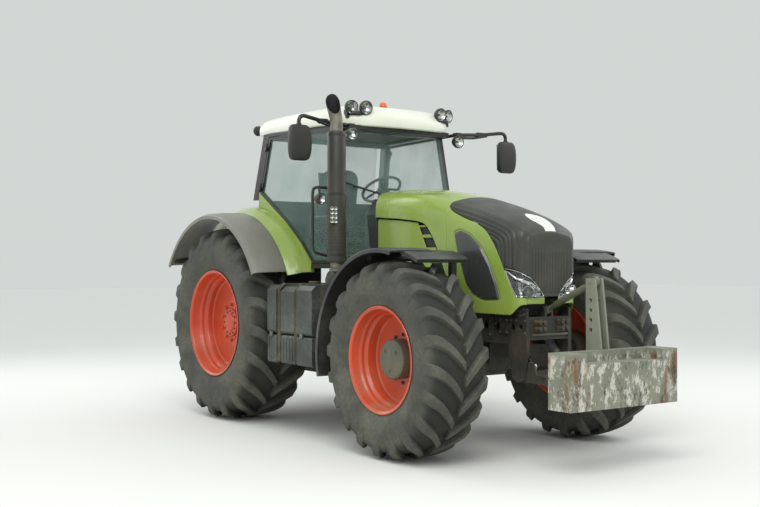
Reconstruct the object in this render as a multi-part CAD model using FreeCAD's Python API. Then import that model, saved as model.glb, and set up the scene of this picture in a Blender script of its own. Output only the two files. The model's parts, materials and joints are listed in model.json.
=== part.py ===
import FreeCAD, Part
import math
import os

os.makedirs("parts", exist_ok=True)
V = FreeCAD.Vector

# Driving sizes in mm. X runs forward from the rear axle and Y to the left. Heights are drawn above a base
# plane, and the rear wheel's radius sets how high the finished tractor stands.
WHEELBASE = 3050
REAR_R = 1015
WHEEL_STEP = 175
FRONT_R = REAR_R - WHEEL_STEP
AXLE_Z = 1015
FRONT_Z = AXLE_Z - WHEEL_STEP
REAR_TRACK = 980
FRONT_TRACK = 1036
KINGPIN_Y = 740
REACH_FRONT = 1550
REACH_REAR = 1200
X_MID = (WHEELBASE + REACH_FRONT - REACH_REAR) / 2

# Chassis and cab
GEARBOX_FRONT = 2050
DECK_Z = AXLE_Z + 180
FRAME_LOW = FRONT_Z + 120
ENGINE_TOP = DECK_Z + 685
FLOOR_Z = AXLE_Z + 585
CAB_HEIGHT = 1430
ROOF_LOW = FLOOR_Z + CAB_HEIGHT
ROOF_RISE = 220
ROOF_TOP = ROOF_LOW + ROOF_RISE
WAIST_Z = FLOOR_Z + 730
TANK_GAP = 50
TANK_BACK = REAR_R + TANK_GAP
TANK_FRONT = WHEELBASE - FRONT_R - 310
TANK_LOW = 677
TANK_TOP = 1467

# Clearances
GAP = 8
SEAT_GAP = 0.3
TYRE_CLEARANCE = 85
HUB_FACE_REAR = REAR_TRACK - 90
HUB_FACE_FRONT = FRONT_TRACK - 121


def save(name, *shapes):
    solid = shapes[0] if len(shapes) == 1 else Part.makeCompound(list(shapes))
    solid = solid.copy()
    solid.translate(V(-X_MID, 0, REAR_R - AXLE_Z))
    solid.exportStep("parts/" + name + ".step")


def fuse(*items):
    whole = items[0]
    if len(items) > 1:
        whole = items[0].multiFuse(list(items[1:]))
    return whole.removeSplitter()


def box(x0, x1, y0, y1, z0, z1):
    return Part.makeBox(x1 - x0, y1 - y0, z1 - z0, V(x0, y0, z0))


def flip(shape):
    return shape.mirror(V(0, 0, 0), V(0, 1, 0))


def both(shape):
    return fuse(shape, flip(shape))


def save_pair(name, shape):
    save(name + "_left", shape)
    save(name + "_right", flip(shape))


def front(x):
    """Place x forward of the front axle."""
    return WHEELBASE + x


def turned(shape, centre, axis, angle):
    new = shape.copy()
    new.rotate(centre, axis, angle)
    return new


def face_of(points):
    ring = list(points) + [points[0]]
    return Part.Face(Part.makePolygon(ring))


def prism_y(points, y0, y1):
    return face_of([V(x, y0, z) for x, z in points]).extrude(V(0, y1 - y0, 0))


def prism_z(points, z0, z1):
    return face_of([V(x, y, z0) for x, y in points]).extrude(V(0, 0, z1 - z0))


def prism_x(points, x0, x1):
    return face_of([V(x0, y, z) for y, z in points]).extrude(V(x1 - x0, 0, 0))


def rod(a, b, r):
    a, b = V(*a), V(*b)
    d = b - a
    return Part.makeCylinder(r, d.Length, a, d)


def rod_y(x, z, y0, y1, r):
    return Part.makeCylinder(r, y1 - y0, V(x, y0, z), V(0, 1, 0))


def eye(pivot, y0, y1, r):
    """Round boss or hole along Y at a pivot."""
    return rod_y(pivot[0], pivot[1], y0, y1, r)


def pipe(points, r):
    pieces = [rod(points[i], points[i + 1], r) for i in range(len(points) - 1)]
    pieces += [Part.makeSphere(r, V(*p)) for p in points[1:-1]]
    return fuse(*pieces)


def ring_y(profile, cx, cz, sweep=360, start=0):
    """Turn a closed (y, radius) profile about the wheel axis at cx, cz."""
    face = face_of([V(cx + r, y, cz) for y, r in profile])
    if start:
        face.rotate(V(cx, 0, cz), V(0, 1, 0), -start)
    return face.revolve(V(cx, 0, cz), V(0, -1, 0), sweep)


def inset(points, d):
    """Move every edge of a closed polygon inward by d."""
    n = len(points)
    area = sum(points[i][0] * points[(i + 1) % n][1] - points[(i + 1) % n][0] * points[i][1]
               for i in range(n))
    sign = 1 if area > 0 else -1
    lines = []
    for i in range(n):
        ax, ay = points[i]
        bx, by = points[(i + 1) % n]
        length = math.hypot(bx - ax, by - ay)
        ux, uy = (bx - ax) / length, (by - ay) / length
        lines.append((ax - uy * d * sign, ay + ux * d * sign, ux, uy))
    result = []
    for i in range(n):
        x1, y1, u1, v1 = lines[i - 1]
        x2, y2, u2, v2 = lines[i]
        cross = u1 * v2 - v1 * u2
        if abs(cross) < 1e-6:
            result.append((x2, y2))
            continue
        t = ((x2 - x1) * v2 - (y2 - y1) * u2) / cross
        result.append((x1 + u1 * t, y1 + v1 * t))
    return result


# Cab side plane: narrower toward the nose and toward the roof
SIDE_Y = 870
SIDE_TAPER = 0.10
SIDE_LEAN = 0.05


def side_y(x, z):
    return SIDE_Y - SIDE_TAPER * (x - 200) - SIDE_LEAN * (z - FLOOR_Z - 50)


def side_plate(points, depth, thick):
    """Plate lying in the left cab side, its outer face depth mm below the side plane."""
    face = face_of([V(x, side_y(x, z) - depth, z) for x, z in points])
    return face.extrude(V(0, -thick, 0))


# Tyres: straight-line profile out to the lug tips; the columns are half width and share of the section
# height from bead to tread
REAR_BEAD = 536
FRONT_BEAD = 432
REAR_TYRE = ((300, 0), (300, 0.054), (330, 0.217), (355, 0.468), (350, 0.656), (335, 0.823), (290, 0.948),
             (150, 1))
FRONT_TYRE = ((245, 0), (245, 0.064), (275, 0.216), (300, 0.461), (297, 0.657), (285, 0.816), (245, 0.939),
              (120, 1))


def tyre(profile, bead, radius, x, y, z):
    rows = [(half, bead + (radius - bead) * share) for half, share in profile]
    left = [(y + half, r) for half, r in rows]
    right = [(y - half, r) for half, r in reversed(rows)]
    return ring_y(left + right, x, z)


# Rims: the barrel's columns are offset from the wheel's middle and height over the bead, the disc's are
# offset and radius
REAR_BARREL_OUT = ((316, 24), (316, 12), (300, -8), (215, -12), (195, -28), (165, -31), (140, -58),
                   (82, -64))
REAR_DISC = ((70, 300), (85, 175), (85, 0), (60, 0), (60, 170), (48, 300))
REAR_BARREL_IN = ((60, -74), (-150, -56), (-200, -31), (-290, -20), (-316, 12), (-316, 24), (-300, 24),
                  (-300, 0), (300, 0), (300, 24))
FRONT_BARREL_OUT = ((260, 25), (260, 14), (246, -8), (172, -12), (155, -24), (115, -27), (95, -47),
                    (10, -54))
FRONT_DISC = ((2, 300), (8, 171), (139, 171), (139, 0), (-121, 0), (-121, 150), (-14, 171), (-16, 300))
FRONT_BARREL_IN = ((-8, -64), (-90, -40), (-150, -28), (-235, -18), (-260, 14), (-260, 25), (-245, 25),
                   (-245, 0), (245, 0), (245, 25))
REAR_HUB_R = 150


def rim(barrel_out, disc, barrel_in, bead, x, y, z):
    rows = [(a, bead + h) for a, h in barrel_out] + list(disc) + [(a, bead + h) for a, h in barrel_in]
    return ring_y([(y + a, r) for a, r in rows], x, z)


rear_rim = rim(REAR_BARREL_OUT, REAR_DISC, REAR_BARREL_IN, REAR_BEAD, 0, REAR_TRACK, AXLE_Z)
rear_rim = fuse(rear_rim, rod_y(0, AXLE_Z, HUB_FACE_REAR, REAR_TRACK + 120, REAR_HUB_R))
save_pair("tyre_rear", tyre(REAR_TYRE, REAR_BEAD, REAR_R, 0, REAR_TRACK, AXLE_Z))
save_pair("tyre_front", tyre(FRONT_TYRE, FRONT_BEAD, FRONT_R, WHEELBASE, FRONT_TRACK, FRONT_Z))
save_pair("rim_rear", rear_rim)
save_pair("rim_front", rim(FRONT_BARREL_OUT, FRONT_DISC, FRONT_BARREL_IN, FRONT_BEAD, WHEELBASE,
                           FRONT_TRACK, FRONT_Z))

# Rear axle and gearbox block with the rear linkage's supports
LINK_PIVOT = (-250, 640)
LINK_PIN_R = 22
ARM_PIVOT = (-260, AXLE_Z + 195)
ARM_PIN_R = 30
GEARBOX_TOP = AXLE_Z + 285
transaxle = fuse(box(-380, 1250, -290, 290, AXLE_Z - 455, GEARBOX_TOP),
                 box(-430, -380, -200, 200, AXLE_Z - 415, AXLE_Z + 135),
                 box(1250, GEARBOX_FRONT, -240, 240, AXLE_Z - 315, AXLE_Z + 175))
trumpet = fuse(rod_y(0, AXLE_Z, 280, 560, 190), rod_y(0, AXLE_Z, 560, HUB_FACE_REAR - SEAT_GAP, 130))
low_ear = prism_y([(-380, 560), (-180, 560), (-180, 720), (-300, 720), (-380, 700)], 290, 350)
high_ear = box(-330, -190, 290, 330, AXLE_Z - 15, GEARBOX_TOP)
linkage_pins = fuse(eye(LINK_PIVOT, 345, 442, LINK_PIN_R), eye(ARM_PIVOT, 325, 432, ARM_PIN_R))
save("rear_transaxle", fuse(transaxle, both(fuse(trumpet, low_ear, high_ear, linkage_pins))))

# Engine is one plain block, with the cooler pack in front of it
ENGINE_HALF = 255
engine = box(GEARBOX_FRONT + 10, front(230), -ENGINE_HALF, ENGINE_HALF, DECK_Z, ENGINE_TOP)
save("engine_block", engine, box(front(280), front(430), -265, 265, DECK_Z, ENGINE_TOP - 80))

# Front frame: two cheek plates with holes, a base plate and the linkage block
LIFT_PIVOT = (front(570), 700)
CYL_TOP = (front(450), 1037)
TOP_LINK_PIN = (front(650), 1250)
CHEEK_IN = 225
CHEEK_OUT = 262
FRAME_FRONT = front(690)
LIFT_PIN_R = 30
CYL_PIN_R = 20
LINK_BORE_R = 16
cheek = prism_y([(GEARBOX_FRONT, FRAME_LOW), (front(450), FRAME_LOW), (front(510), 670), (front(570), 640),
                 (front(630), 670), (FRAME_FRONT, 900), (FRAME_FRONT, DECK_Z), (GEARBOX_FRONT, DECK_Z)],
                CHEEK_IN, CHEEK_OUT)
for hole_x, hole_r in ((510, 32), (610, 26), (310, 34), (160, 34)):
    cheek = cheek.cut(rod_y(front(hole_x), DECK_Z - 85, 200, 300, hole_r))
deck = box(GEARBOX_FRONT, FRAME_FRONT, -230, 230, DECK_Z - 30, DECK_Z)
belly = box(GEARBOX_FRONT, front(250), -230, 230, FRAME_LOW, FRAME_LOW + 40)
nose_plate = box(FRAME_FRONT - 40, FRAME_FRONT, -230, 230, 1000, DECK_Z)
tower = prism_y([(front(590), DECK_Z), (FRAME_FRONT, DECK_Z), (front(685), 1255), (front(665), 1282),
                 (front(635), 1282), (front(612), 1255)], 26, 48)
frame_pins = fuse(eye(LIFT_PIVOT, -230, 230, LIFT_PIN_R), eye(CYL_TOP, -230, 230, CYL_PIN_R),
                  eye(TOP_LINK_PIN, -48, 48, LINK_BORE_R))
save("front_frame", fuse(both(fuse(cheek, tower)), deck, belly, nose_plate, frame_pins))

# Front axle beam with forked ends that carry the kingpins
FORK_HALF = 200
KINGPIN_R = 30
BEAM_END = KINGPIN_Y - 180
beam = fuse(box(front(-100), front(100), -BEAM_END, BEAM_END, FRONT_Z - 140, FRONT_Z + 60),
            box(front(-150), front(150), -200, 200, FRONT_Z - 80, FRAME_LOW),
            Part.makeSphere(155, V(WHEELBASE, 0, FRONT_Z - 40)))
fork = fuse(box(front(-80), front(80), BEAM_END - 20, KINGPIN_Y + 70, FRONT_Z - FORK_HALF, FRONT_Z - 168),
            box(front(-80), front(80), BEAM_END - 20, KINGPIN_Y + 70, FRONT_Z + 168, FRONT_Z + FORK_HALF),
            box(front(-90), front(90), BEAM_END - 20, BEAM_END + 40,
                FRONT_Z - FORK_HALF, FRONT_Z + FORK_HALF))
kingpins = fuse(Part.makeCylinder(KINGPIN_R, 26, V(WHEELBASE, KINGPIN_Y, FRONT_Z - 168)),
                Part.makeCylinder(KINGPIN_R, 26, V(WHEELBASE, KINGPIN_Y, FRONT_Z + 142)))
save("front_axle", fuse(beam, both(fuse(fork, kingpins))))

# Knuckle between the fork plates, its short axle and the fender stay
FENDER_R = FRONT_R + TYRE_CLEARANCE
TIE_X = front(-160)
knuckle = fuse(box(front(-65), front(65), KINGPIN_Y - 60, KINGPIN_Y + 90, FRONT_Z - 160, FRONT_Z + 160),
               rod_y(WHEELBASE, FRONT_Z, KINGPIN_Y + 80, HUB_FACE_FRONT - SEAT_GAP, 110))
socket = fuse(Part.makeCylinder(KINGPIN_R + SEAT_GAP, 30, V(WHEELBASE, KINGPIN_Y, FRONT_Z - 170)),
              Part.makeCylinder(KINGPIN_R + SEAT_GAP, 30, V(WHEELBASE, KINGPIN_Y, FRONT_Z + 140)))
knuckle = knuckle.cut(socket)
steer_arm = prism_z([(front(-65), KINGPIN_Y - 35), (front(-65), KINGPIN_Y + 35), (TIE_X, KINGPIN_Y + 32),
                     (TIE_X - 32, KINGPIN_Y), (TIE_X, KINGPIN_Y - 32)], FRONT_Z - 120, FRONT_Z - 90)
stay = fuse(box(front(200), front(245), KINGPIN_Y - 85, KINGPIN_Y - 28, FRONT_Z - 80, FRONT_Z + FENDER_R),
            box(front(50), front(245), KINGPIN_Y - 58, KINGPIN_Y - 28, FRONT_Z - 80, FRONT_Z - 30))
stay = stay.common(rod_y(WHEELBASE, FRONT_Z, 600, 760, FENDER_R - 20))


def fender_band(y0, y1, sweep, start):
    """Curved strap just under the front fender."""
    rows = [(y0, FENDER_R - 32), (y1, FENDER_R - 32), (y1, FENDER_R), (y0, FENDER_R)]
    return ring_y(rows, WHEELBASE, FRONT_Z, sweep, start)


straps = [fender_band(KINGPIN_Y - 85, KINGPIN_Y + 440, 4, turn) for turn in (66, 108)]
hoop = fender_band(KINGPIN_Y - 85, KINGPIN_Y - 40, 46, 66)
save_pair("knuckle", fuse(knuckle, steer_arm, stay, hoop, *straps))

# Front fender: full width behind, a narrower tongue in front
FENDER_IN = FRONT_TRACK - 196
FENDER_OUT = FRONT_TRACK + 305
back_part = ring_y([(FENDER_IN, FENDER_R), (FENDER_OUT - 6, FENDER_R), (FENDER_OUT - 6, FENDER_R - 24),
                    (FENDER_OUT, FENDER_R - 24), (FENDER_OUT, FENDER_R + 10),
                    (FENDER_OUT - 51, FENDER_R + 14), (FENDER_IN + 40, FENDER_R + 14),
                    (FENDER_IN, FENDER_R + 10)], WHEELBASE, FRONT_Z, 118, 75)
tongue = ring_y([(FENDER_IN, FENDER_R), (FRONT_TRACK + 84, FENDER_R), (FRONT_TRACK + 84, FENDER_R + 12),
                 (FENDER_IN, FENDER_R + 12)], WHEELBASE, FRONT_Z, 14, 62)
save_pair("front_fender", fuse(back_part, tongue))

# Tie rod slides sideways just below the knuckle arms
tie_z = FRONT_Z - 145
joint_ball = Part.makeCylinder(30, 44 - SEAT_GAP, V(TIE_X, KINGPIN_Y, FRONT_Z - 164))
save("tie_rod", fuse(rod((TIE_X, -KINGPIN_Y, tie_z), (TIE_X, KINGPIN_Y, tie_z), 16), both(joint_ball)))

# Hood: lofted sections of lines and arcs. The columns are share of the hood's length from the cab, side
# half width, height where the corner starts, half width and height where the crown starts, and top height
HOOD_BACK = 1790
NOSE_X = front(695)
HOOD_SECTIONS = (
    (0, 435, 2160, 330, 2335, 2372),
    (0.312, 430, 2110, 325, 2300, 2340),
    (0.593, 415, 2000, 305, 2190, 2232),
    (0.798, 385, 1880, 275, 2080, 2122),
    (0.926, 345, 1760, 240, 1970, 2015),
    (0.985, 295, 1660, 190, 1870, 1915),
    (1, 235, 1590, 140, 1800, 1840),
)
HOOD_FOOT = 1150
CORNER_BULGE = 0.72
SKIN = 14


def hood_x(share):
    return HOOD_BACK + (NOSE_X - HOOD_BACK) * share


def hood_wire(x, w, zc, wt, ze, zt):
    mid_y = wt + (w - wt) * CORNER_BULGE
    mid_z = zc + (ze - zc) * CORNER_BULGE
    a, b, c = V(x, -w, HOOD_FOOT), V(x, -w, zc), V(x, -wt, ze)
    d, e, f = V(x, wt, ze), V(x, w, zc), V(x, w, HOOD_FOOT)
    return Part.Wire([Part.makeLine(a, b), Part.Arc(b, V(x, -mid_y, mid_z), c).toShape(),
                      Part.Arc(c, V(x, 0, zt), d).toShape(), Part.Arc(d, V(x, mid_y, mid_z), e).toShape(),
                      Part.makeLine(e, f), Part.makeLine(f, a)])


def hood_body(t):
    """Hood volume with every wall moved inward by t."""
    wires = []
    last = len(HOOD_SECTIONS) - 1
    for i, (share, w, zc, wt, ze, zt) in enumerate(HOOD_SECTIONS):
        x = hood_x(share)
        if i >= last - 1:
            x -= t
        if i == 0 and t > 0:
            x -= 20
        wires.append(hood_wire(x, w - t, zc - t / 2, wt - t / 2, ze - t, zt - t))
    return Part.makeLoft(wires, True, False)


def hood_outline(rows, half=600):
    """Cutter through the hood from the side; the columns are share of its length and height."""
    return prism_y([(hood_x(share), z) for share, z in rows], -half, half)


HOOD_EDGE = ((-0.005, 2062), (0.184, 2034), (0.363, 1978), (0.425, 1905), (0.465, 1800), (0.496, 1620),
             (0.568, 1395), (0.670, 1255), (0.721, 1220), (1.028, 1214), (1.028, 1100), (-0.046, 1100),
             (-0.046, 2062))
DARK_TOP = ((0.332, 2500), (0.338, 2336), (0.465, 2272), (0.573, 2176), (0.693, 2100), (0.762, 2008),
            (0.829, 1850), (0.895, 1660), (0.946, 1450), (0.951, 1405), (1.079, 1405), (1.079, 2500))
SIDE_VENT = ((0.601, 1921), (0.693, 1855), (0.775, 1749), (0.829, 1593), (0.868, 1338), (0.747, 1349),
             (0.672, 1415), (0.636, 1662))
LAMP_FRONT = ((60, 1392), (78, 1440), (200, 1512), (420, 1650), (440, 1610), (440, 1385), (110, 1375))
outer = hood_body(0)
middle = hood_body(4)
inner = hood_body(SKIN)
below = fuse(hood_outline(HOOD_EDGE), box(front(530), front(850), -250, 250, 1100, 1364))
dark = hood_outline(DARK_TOP)
vents = hood_outline(SIDE_VENT)
lamp_zone = both(prism_x(LAMP_FRONT, front(490), front(850)))
shell = outer.cut(inner).cut(below).cut(dark).cut(vents).cut(lamp_zone)
mesh = middle.cut(inner).cut(below).cut(lamp_zone)
HINGE_HOOD = (HOOD_BACK + 15, 2262)
HINGE_PIN = 9
hood_lug = fuse(eye(HINGE_HOOD, 216, 230, HINGE_PIN + 8),
                prism_y([(HOOD_BACK + 10, 2262), (HOOD_BACK + 30, 2260), (HOOD_BACK + 90, 2400),
                         (HOOD_BACK + 52, 2400)], 216, 230))
hood_lug = hood_lug.common(hood_body(SKIN - 1)).cut(eye(HINGE_HOOD, 200, 250, HINGE_PIN + SEAT_GAP))
save("hood_shell", fuse(shell, hood_lug, flip(hood_lug)))
save("hood_grilles", mesh.common(dark), mesh.common(vents))
save("headlamps", middle.common(lamp_zone).cut(hood_body(70)))

# Fixed side panels below the hood, on stays from the engine
PANEL_IN = 405
PANEL_OUT = 417
PANEL = ((0.005, 2050), (0.184, 2022), (0.359, 1968), (0.416, 1896), (0.457, 1796),
         (0.485, 1640), (0.005, 1660))
panel = prism_y([(hood_x(share), z) for share, z in PANEL], PANEL_IN, PANEL_OUT)
stays = [box(hood_x(share), hood_x(share) + 40, ENGINE_HALF, PANEL_IN + 3, z, z + 40)
         for share, z in ((0.169, 1740), (0.394, 1700))]
panel = fuse(panel, *stays)
save("side_panels", panel, flip(panel))

# Cab side outline, door opening and door in the leaning side plane
ARCH_R = REAR_R + 241
POST_HEAD = 1418
POST_FOOT = 1665
REAR_FOOT_X = 70
REAR_HEAD_X = 215
CAB_SIDE = [(REAR_FOOT_X, WAIST_Z), (REAR_HEAD_X, ROOF_LOW), (POST_HEAD, ROOF_LOW),
            (POST_FOOT, FLOOR_Z + 80), (1640, FLOOR_Z),
            (1100, FLOOR_Z), (1060, 1700), (880, 1860), (640, 2050), (440, 2180), (200, WAIST_Z)]
DOOR_HINGE_LOW = (205, WAIST_Z + 70)
DOOR_HINGE_HIGH = (322, ROOF_LOW - 40)
DOOR_FOOT = FLOOR_Z + 55
DOOR = [DOOR_HINGE_LOW, DOOR_HINGE_HIGH, (1372, ROOF_LOW - 40), (1500, 2300), (1500, DOOR_FOOT),
        (1160, DOOR_FOOT), (950, 1870), (690, 2080)]
GREEN_SIDE = [(180, 2250), (180, 2420), (700, 2100), (960, 1880), (1140, 1690), (1140, FLOOR_Z - 40),
              (900, FLOOR_Z), (600, 1900)]
DOOR_FRAME = 26
opening = side_plate(inset(DOOR, -GAP), -20, 100)
arch = rod_y(0, AXLE_Z, 600, 1500, ARCH_R + 6)
side_frame = side_plate(CAB_SIDE, 0, 55).cut(opening).cut(prism_y(GREEN_SIDE, 600, 1000)).cut(arch)
door_glass_edge = inset(DOOR, DOOR_FRAME)
door_frame = side_plate(DOOR, 0, 32).cut(side_plate(door_glass_edge, -20, 100))
grip = fuse(side_plate([(1400, 1960), (1470, 1960), (1470, 2010), (1400, 2010)], 32, 30),
            side_plate([(1430, 1700), (1478, 1700), (1478, 2010), (1430, 2010)], 26, 8))
door_frame = fuse(door_frame, grip).cut(arch)
door_glass = side_plate(door_glass_edge, 12, 7).cut(arch)
HINGE_OUT = 16
HINGE_PIN_R = 11
HINGE_MID = 4
LEAF_GAP = 4


def hinge_at(t):
    x = DOOR_HINGE_LOW[0] + (DOOR_HINGE_HIGH[0] - DOOR_HINGE_LOW[0]) * t - HINGE_MID
    z = DOOR_HINGE_LOW[1] + (DOOR_HINGE_HIGH[1] - DOOR_HINGE_LOW[1]) * t
    return x, side_y(x, z) + HINGE_OUT, z


def hinge_leaf(t0, t1, reach):
    x0, y0, z0 = hinge_at(t0)
    x1, y1, z1 = hinge_at(t1)
    if reach > 0:
        return side_plate([(x0, z0), (x0 + reach, z0), (x1 + reach, z1), (x1, z1)], -HINGE_OUT, HINGE_OUT)
    return side_plate([(x0 + reach, z0), (x0, z0), (x1, z1), (x1 + reach, z1)], -HINGE_OUT, HINGE_OUT)


axis_len = math.dist(hinge_at(0), hinge_at(1))
leaf_step = LEAF_GAP / axis_len
frame_hinges = []
door_hinges = []
for t in (0.10, 0.82):
    join = t + SEAT_GAP / axis_len
    frame_hinges += [rod(hinge_at(t - 0.06), hinge_at(t), HINGE_PIN_R),
                     hinge_leaf(t - 0.06, t - leaf_step, -40)]
    door_hinges += [rod(hinge_at(join), hinge_at(join + 0.08), HINGE_PIN_R),
                    hinge_leaf(join + leaf_step, join + 0.08, 44)]
save_pair("door", fuse(door_frame, *door_hinges))
save_pair("door_glass", door_glass)

# Cab frame: side frames with the door hinges, and the rails over the panes
head_rear = box(195, 255, -760, 760, ROOF_LOW - 60, ROOF_LOW)
head_front = box(1372, 1424, -640, 640, ROOF_LOW - 60, ROOF_LOW)
rear_low = box(70, 130, -768, 768, 2140, WAIST_Z)
rear_shelf = box(70, 215, -585, 585, 2095, 2145)
cab_frame = fuse(both(fuse(side_frame, *frame_hinges)), head_rear, head_front, rear_low, rear_shelf)

# Cab floor with the wheel houses, rear wall, cowl and mounts
FLOOR = [(200, -585), (1100, -585), (1100, -740), (1640, -670), (1640, 670), (1100, 740), (1100, 585),
         (200, 585)]
floor = prism_z(FLOOR, FLOOR_Z, FLOOR_Z + 40)
house = ring_y([(585, ARCH_R - 176), (600, ARCH_R - 176), (600, ARCH_R - 128), (770, ARCH_R - 28),
                (770, ARCH_R - 14), (585, ARCH_R - 114)], 0, AXLE_Z, 92, 28)
wall = prism_y([(200, FLOOR_Z), (1100, FLOOR_Z), (1010, 1700), (850, 1840), (600, 2020), (300, 2110),
                (200, 2120)], 585, 600)
house = fuse(house.common(box(60, 1300, 0, 900, FLOOR_Z - 100, 2400)), wall)
bulkhead = box(190, 215, -585, 585, FLOOR_Z, 2120)
COWL_BACK = 1560
COWL_FRONT = HOOD_BACK - 15
cowl_side = [(-405, FLOOR_Z + 20), (405, FLOOR_Z + 20), (405, 2130), (295, 2290), (-295, 2290), (-405, 2130)]
cowl = prism_x(cowl_side, COWL_BACK, COWL_FRONT)
cowl = cowl.cut(prism_x(inset(cowl_side, 30), COWL_BACK - 60, COWL_FRONT - 30))
cowl_lug = prism_y([(COWL_FRONT - 35, 2230), (HINGE_HOOD[0] + 7, 2248), (HINGE_HOOD[0] + 13, 2262),
                    (HINGE_HOOD[0] + 7, 2276), (COWL_FRONT - 35, 2290)], 196, 212)
cowl_lug = fuse(cowl_lug, eye(HINGE_HOOD, 200, 234, HINGE_PIN))
apron = prism_x([(405, FLOOR_Z + 20), (700, FLOOR_Z + 20), (690, FLOOR_Z + 80), (405, FLOOR_Z + 80)],
                1600, POST_FOOT)
rear_mount = box(300, 420, 200, 560, GEARBOX_TOP, FLOOR_Z)
front_mount = box(1450, 1600, 150, 230, DECK_Z - 5, FLOOR_Z)
cab_floor = fuse(floor, bulkhead, cowl, both(fuse(house, cowl_lug, apron, rear_mount, front_mount)))
save("cab_floor", cab_floor)
save("cab_frame", cab_frame.cut(cab_floor))

# Windscreen leans with the front posts and steps round the cowl
PANE_PLAY = 0.05
SCREEN_LEAN = (POST_FOOT - POST_HEAD + PANE_PLAY) / (CAB_HEIGHT - 80)
SCREEN = [(-700, FLOOR_Z + 80), (-405, FLOOR_Z + 80), (-405, 2130), (-295, 2290), (295, 2290), (405, 2130),
          (405, FLOOR_Z + 80), (700, FLOOR_Z + 80), (640, ROOF_LOW - 62), (-640, ROOF_LOW - 62)]
PANE = 7
screen = face_of([V(POST_HEAD + (ROOF_LOW - z) * SCREEN_LEAN, y, z) for y, z in SCREEN])
screen = screen.extrude(V(PANE, 0, 0))
save("windscreen", screen)
REAR_PANE = [(-738, WAIST_Z), (738, WAIST_Z), (700, ROOF_LOW - 62), (-700, ROOF_LOW - 62)]
REAR_LEAN = (REAR_HEAD_X - REAR_FOOT_X - 2 * PANE_PLAY) / (ROOF_LOW - WAIST_Z)
rear_pane = face_of([V(REAR_FOOT_X + (z - WAIST_Z) * REAR_LEAN, y, z) for y, z in REAR_PANE])
rear_pane = rear_pane.extrude(V(PANE, 0, 0))
save("rear_glass", rear_pane)

# Rear fenders: green inner skin with the panel under the door, grey outer skin. The columns are distance
# from the middle and depth below the arch radius
GREEN_SKIN = ((770, 0), (870, 16), (1000, 78), (1000, 92), (864, 30), (770, 14))
GREY_SKIN = ((1000, 92), (1000, 78), (1200, 84), (1330, 96), (1368, 116), (1368, 152), (1354, 152),
             (1354, 124), (1324, 110), (1200, 98))
green = ring_y([(y, ARCH_R - d) for y, d in GREEN_SKIN], 0, AXLE_Z, 118, 26)
under_door = side_plate(GREEN_SIDE, 0, 40).cut(opening).cut(rod_y(0, AXLE_Z, 600, 1000, ARCH_R - 6))
save_pair("fender_inner", fuse(green, under_door))
outer_skin = ring_y([(y, ARCH_R - d) for y, d in GREY_SKIN], 0, AXLE_Z, 120, 28)
save_pair("fender_outer", outer_skin)

# Roof: plan outlines lofted upward; the columns are inset and share of the rise
ROOF_PLAN = [(-60, -700), (120, -790), (1350, -735), (1600, -640), (1720, -330), (1720, 330), (1600, 640),
             (1350, 735), (120, 790), (-60, 700)]
ROOF_ROWS = ((25, 0), (0, 0.23), (12, 0.545), (90, 0.864), (250, 1))


def plan_wire(points, z):
    return Part.makePolygon([V(x, y, z) for x, y in points] + [V(points[0][0], points[0][1], z)])


roof = Part.makeLoft([plan_wire(inset(ROOF_PLAN, d), ROOF_LOW + ROOF_RISE * share)
                      for d, share in ROOF_ROWS], True, True)
save("roof", roof)

# Lamps on the roof and on the mirror arms; the columns are place forward and sideways
lamp_z = ROOF_TOP - 60
lamp_set = []
for lamp_x, lamp_y in ((1640, 470), (1590, 610)):
    lamp_set.append(rod((lamp_x - 30, lamp_y, lamp_z), (lamp_x + 45, lamp_y, lamp_z), 58))
    lamp_set.append(rod((lamp_x - 90, lamp_y, lamp_z), (lamp_x - 25, lamp_y, lamp_z), 22))
ARM_Z = ROOF_LOW - 42
MIRROR_ARM_R = 14
low_lamp = fuse(rod((1650, 668, ARM_Z - 68), (1720, 668, ARM_Z - 68), 50),
                rod((1690, 668, ARM_Z - 68), (1690, 668, ARM_Z - MIRROR_ARM_R), 10))
rear_lamp = fuse(rod((-130, 690, ROOF_LOW + 80), (-80, 690, ROOF_LOW + 80), 52),
                 rod((-85, 690, ROOF_LOW + 80), (30, 690, ROOF_LOW + 80), 18))
lamps = fuse(*lamp_set, low_lamp, rear_lamp).cut(roof)
save("lamps", lamps, flip(lamps))
save("beacon", fuse(rod((1300, 0, ROOF_TOP), (1300, 0, ROOF_TOP + 20), 30),
                    rod((1300, 0, ROOF_TOP + 16), (1300, 0, ROOF_TOP + 66), 42)))

# Exhaust stack on the right of the cab with its feed pipe
EX_X = 1820
EX_Y = -915
GUARD_R = 88
stack = fuse(rod((EX_X, EX_Y, FLOOR_Z + 60), (EX_X, EX_Y, ROOF_LOW + 30), GUARD_R),
             rod((EX_X, EX_Y, FLOOR_Z - 40), (EX_X, EX_Y, FLOOR_Z + 65), 60),
             rod((EX_X, EX_Y, ROOF_LOW + 20), (EX_X, EX_Y, ROOF_LOW + 170), 66))
elbow = rod((EX_X - 10, EX_Y + 6, ROOF_LOW + 140), (EX_X + 60, EX_Y - 36, ROOF_LOW + 232), 64)
elbow = elbow.cut(rod((EX_X + 2, EX_Y - 1, ROOF_LOW + 156), (EX_X + 75, EX_Y - 45, ROOF_LOW + 252), 56))
feed = pipe([(EX_X, EX_Y, FLOOR_Z), (EX_X + 30, -760, FLOOR_Z - 40),
             (GEARBOX_FRONT + 50, -250, FLOOR_Z - 60)], 55)
bracket = fuse(box(1640, EX_X - 20, -850, -700, FLOOR_Z + 40, FLOOR_Z + 62),
               box(1640, 1690, -720, -640, FLOOR_Z, FLOOR_Z + 62))
save("exhaust", fuse(stack, elbow, feed, bracket).cut(cab_floor).cut(cab_frame).cut(engine))

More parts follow.
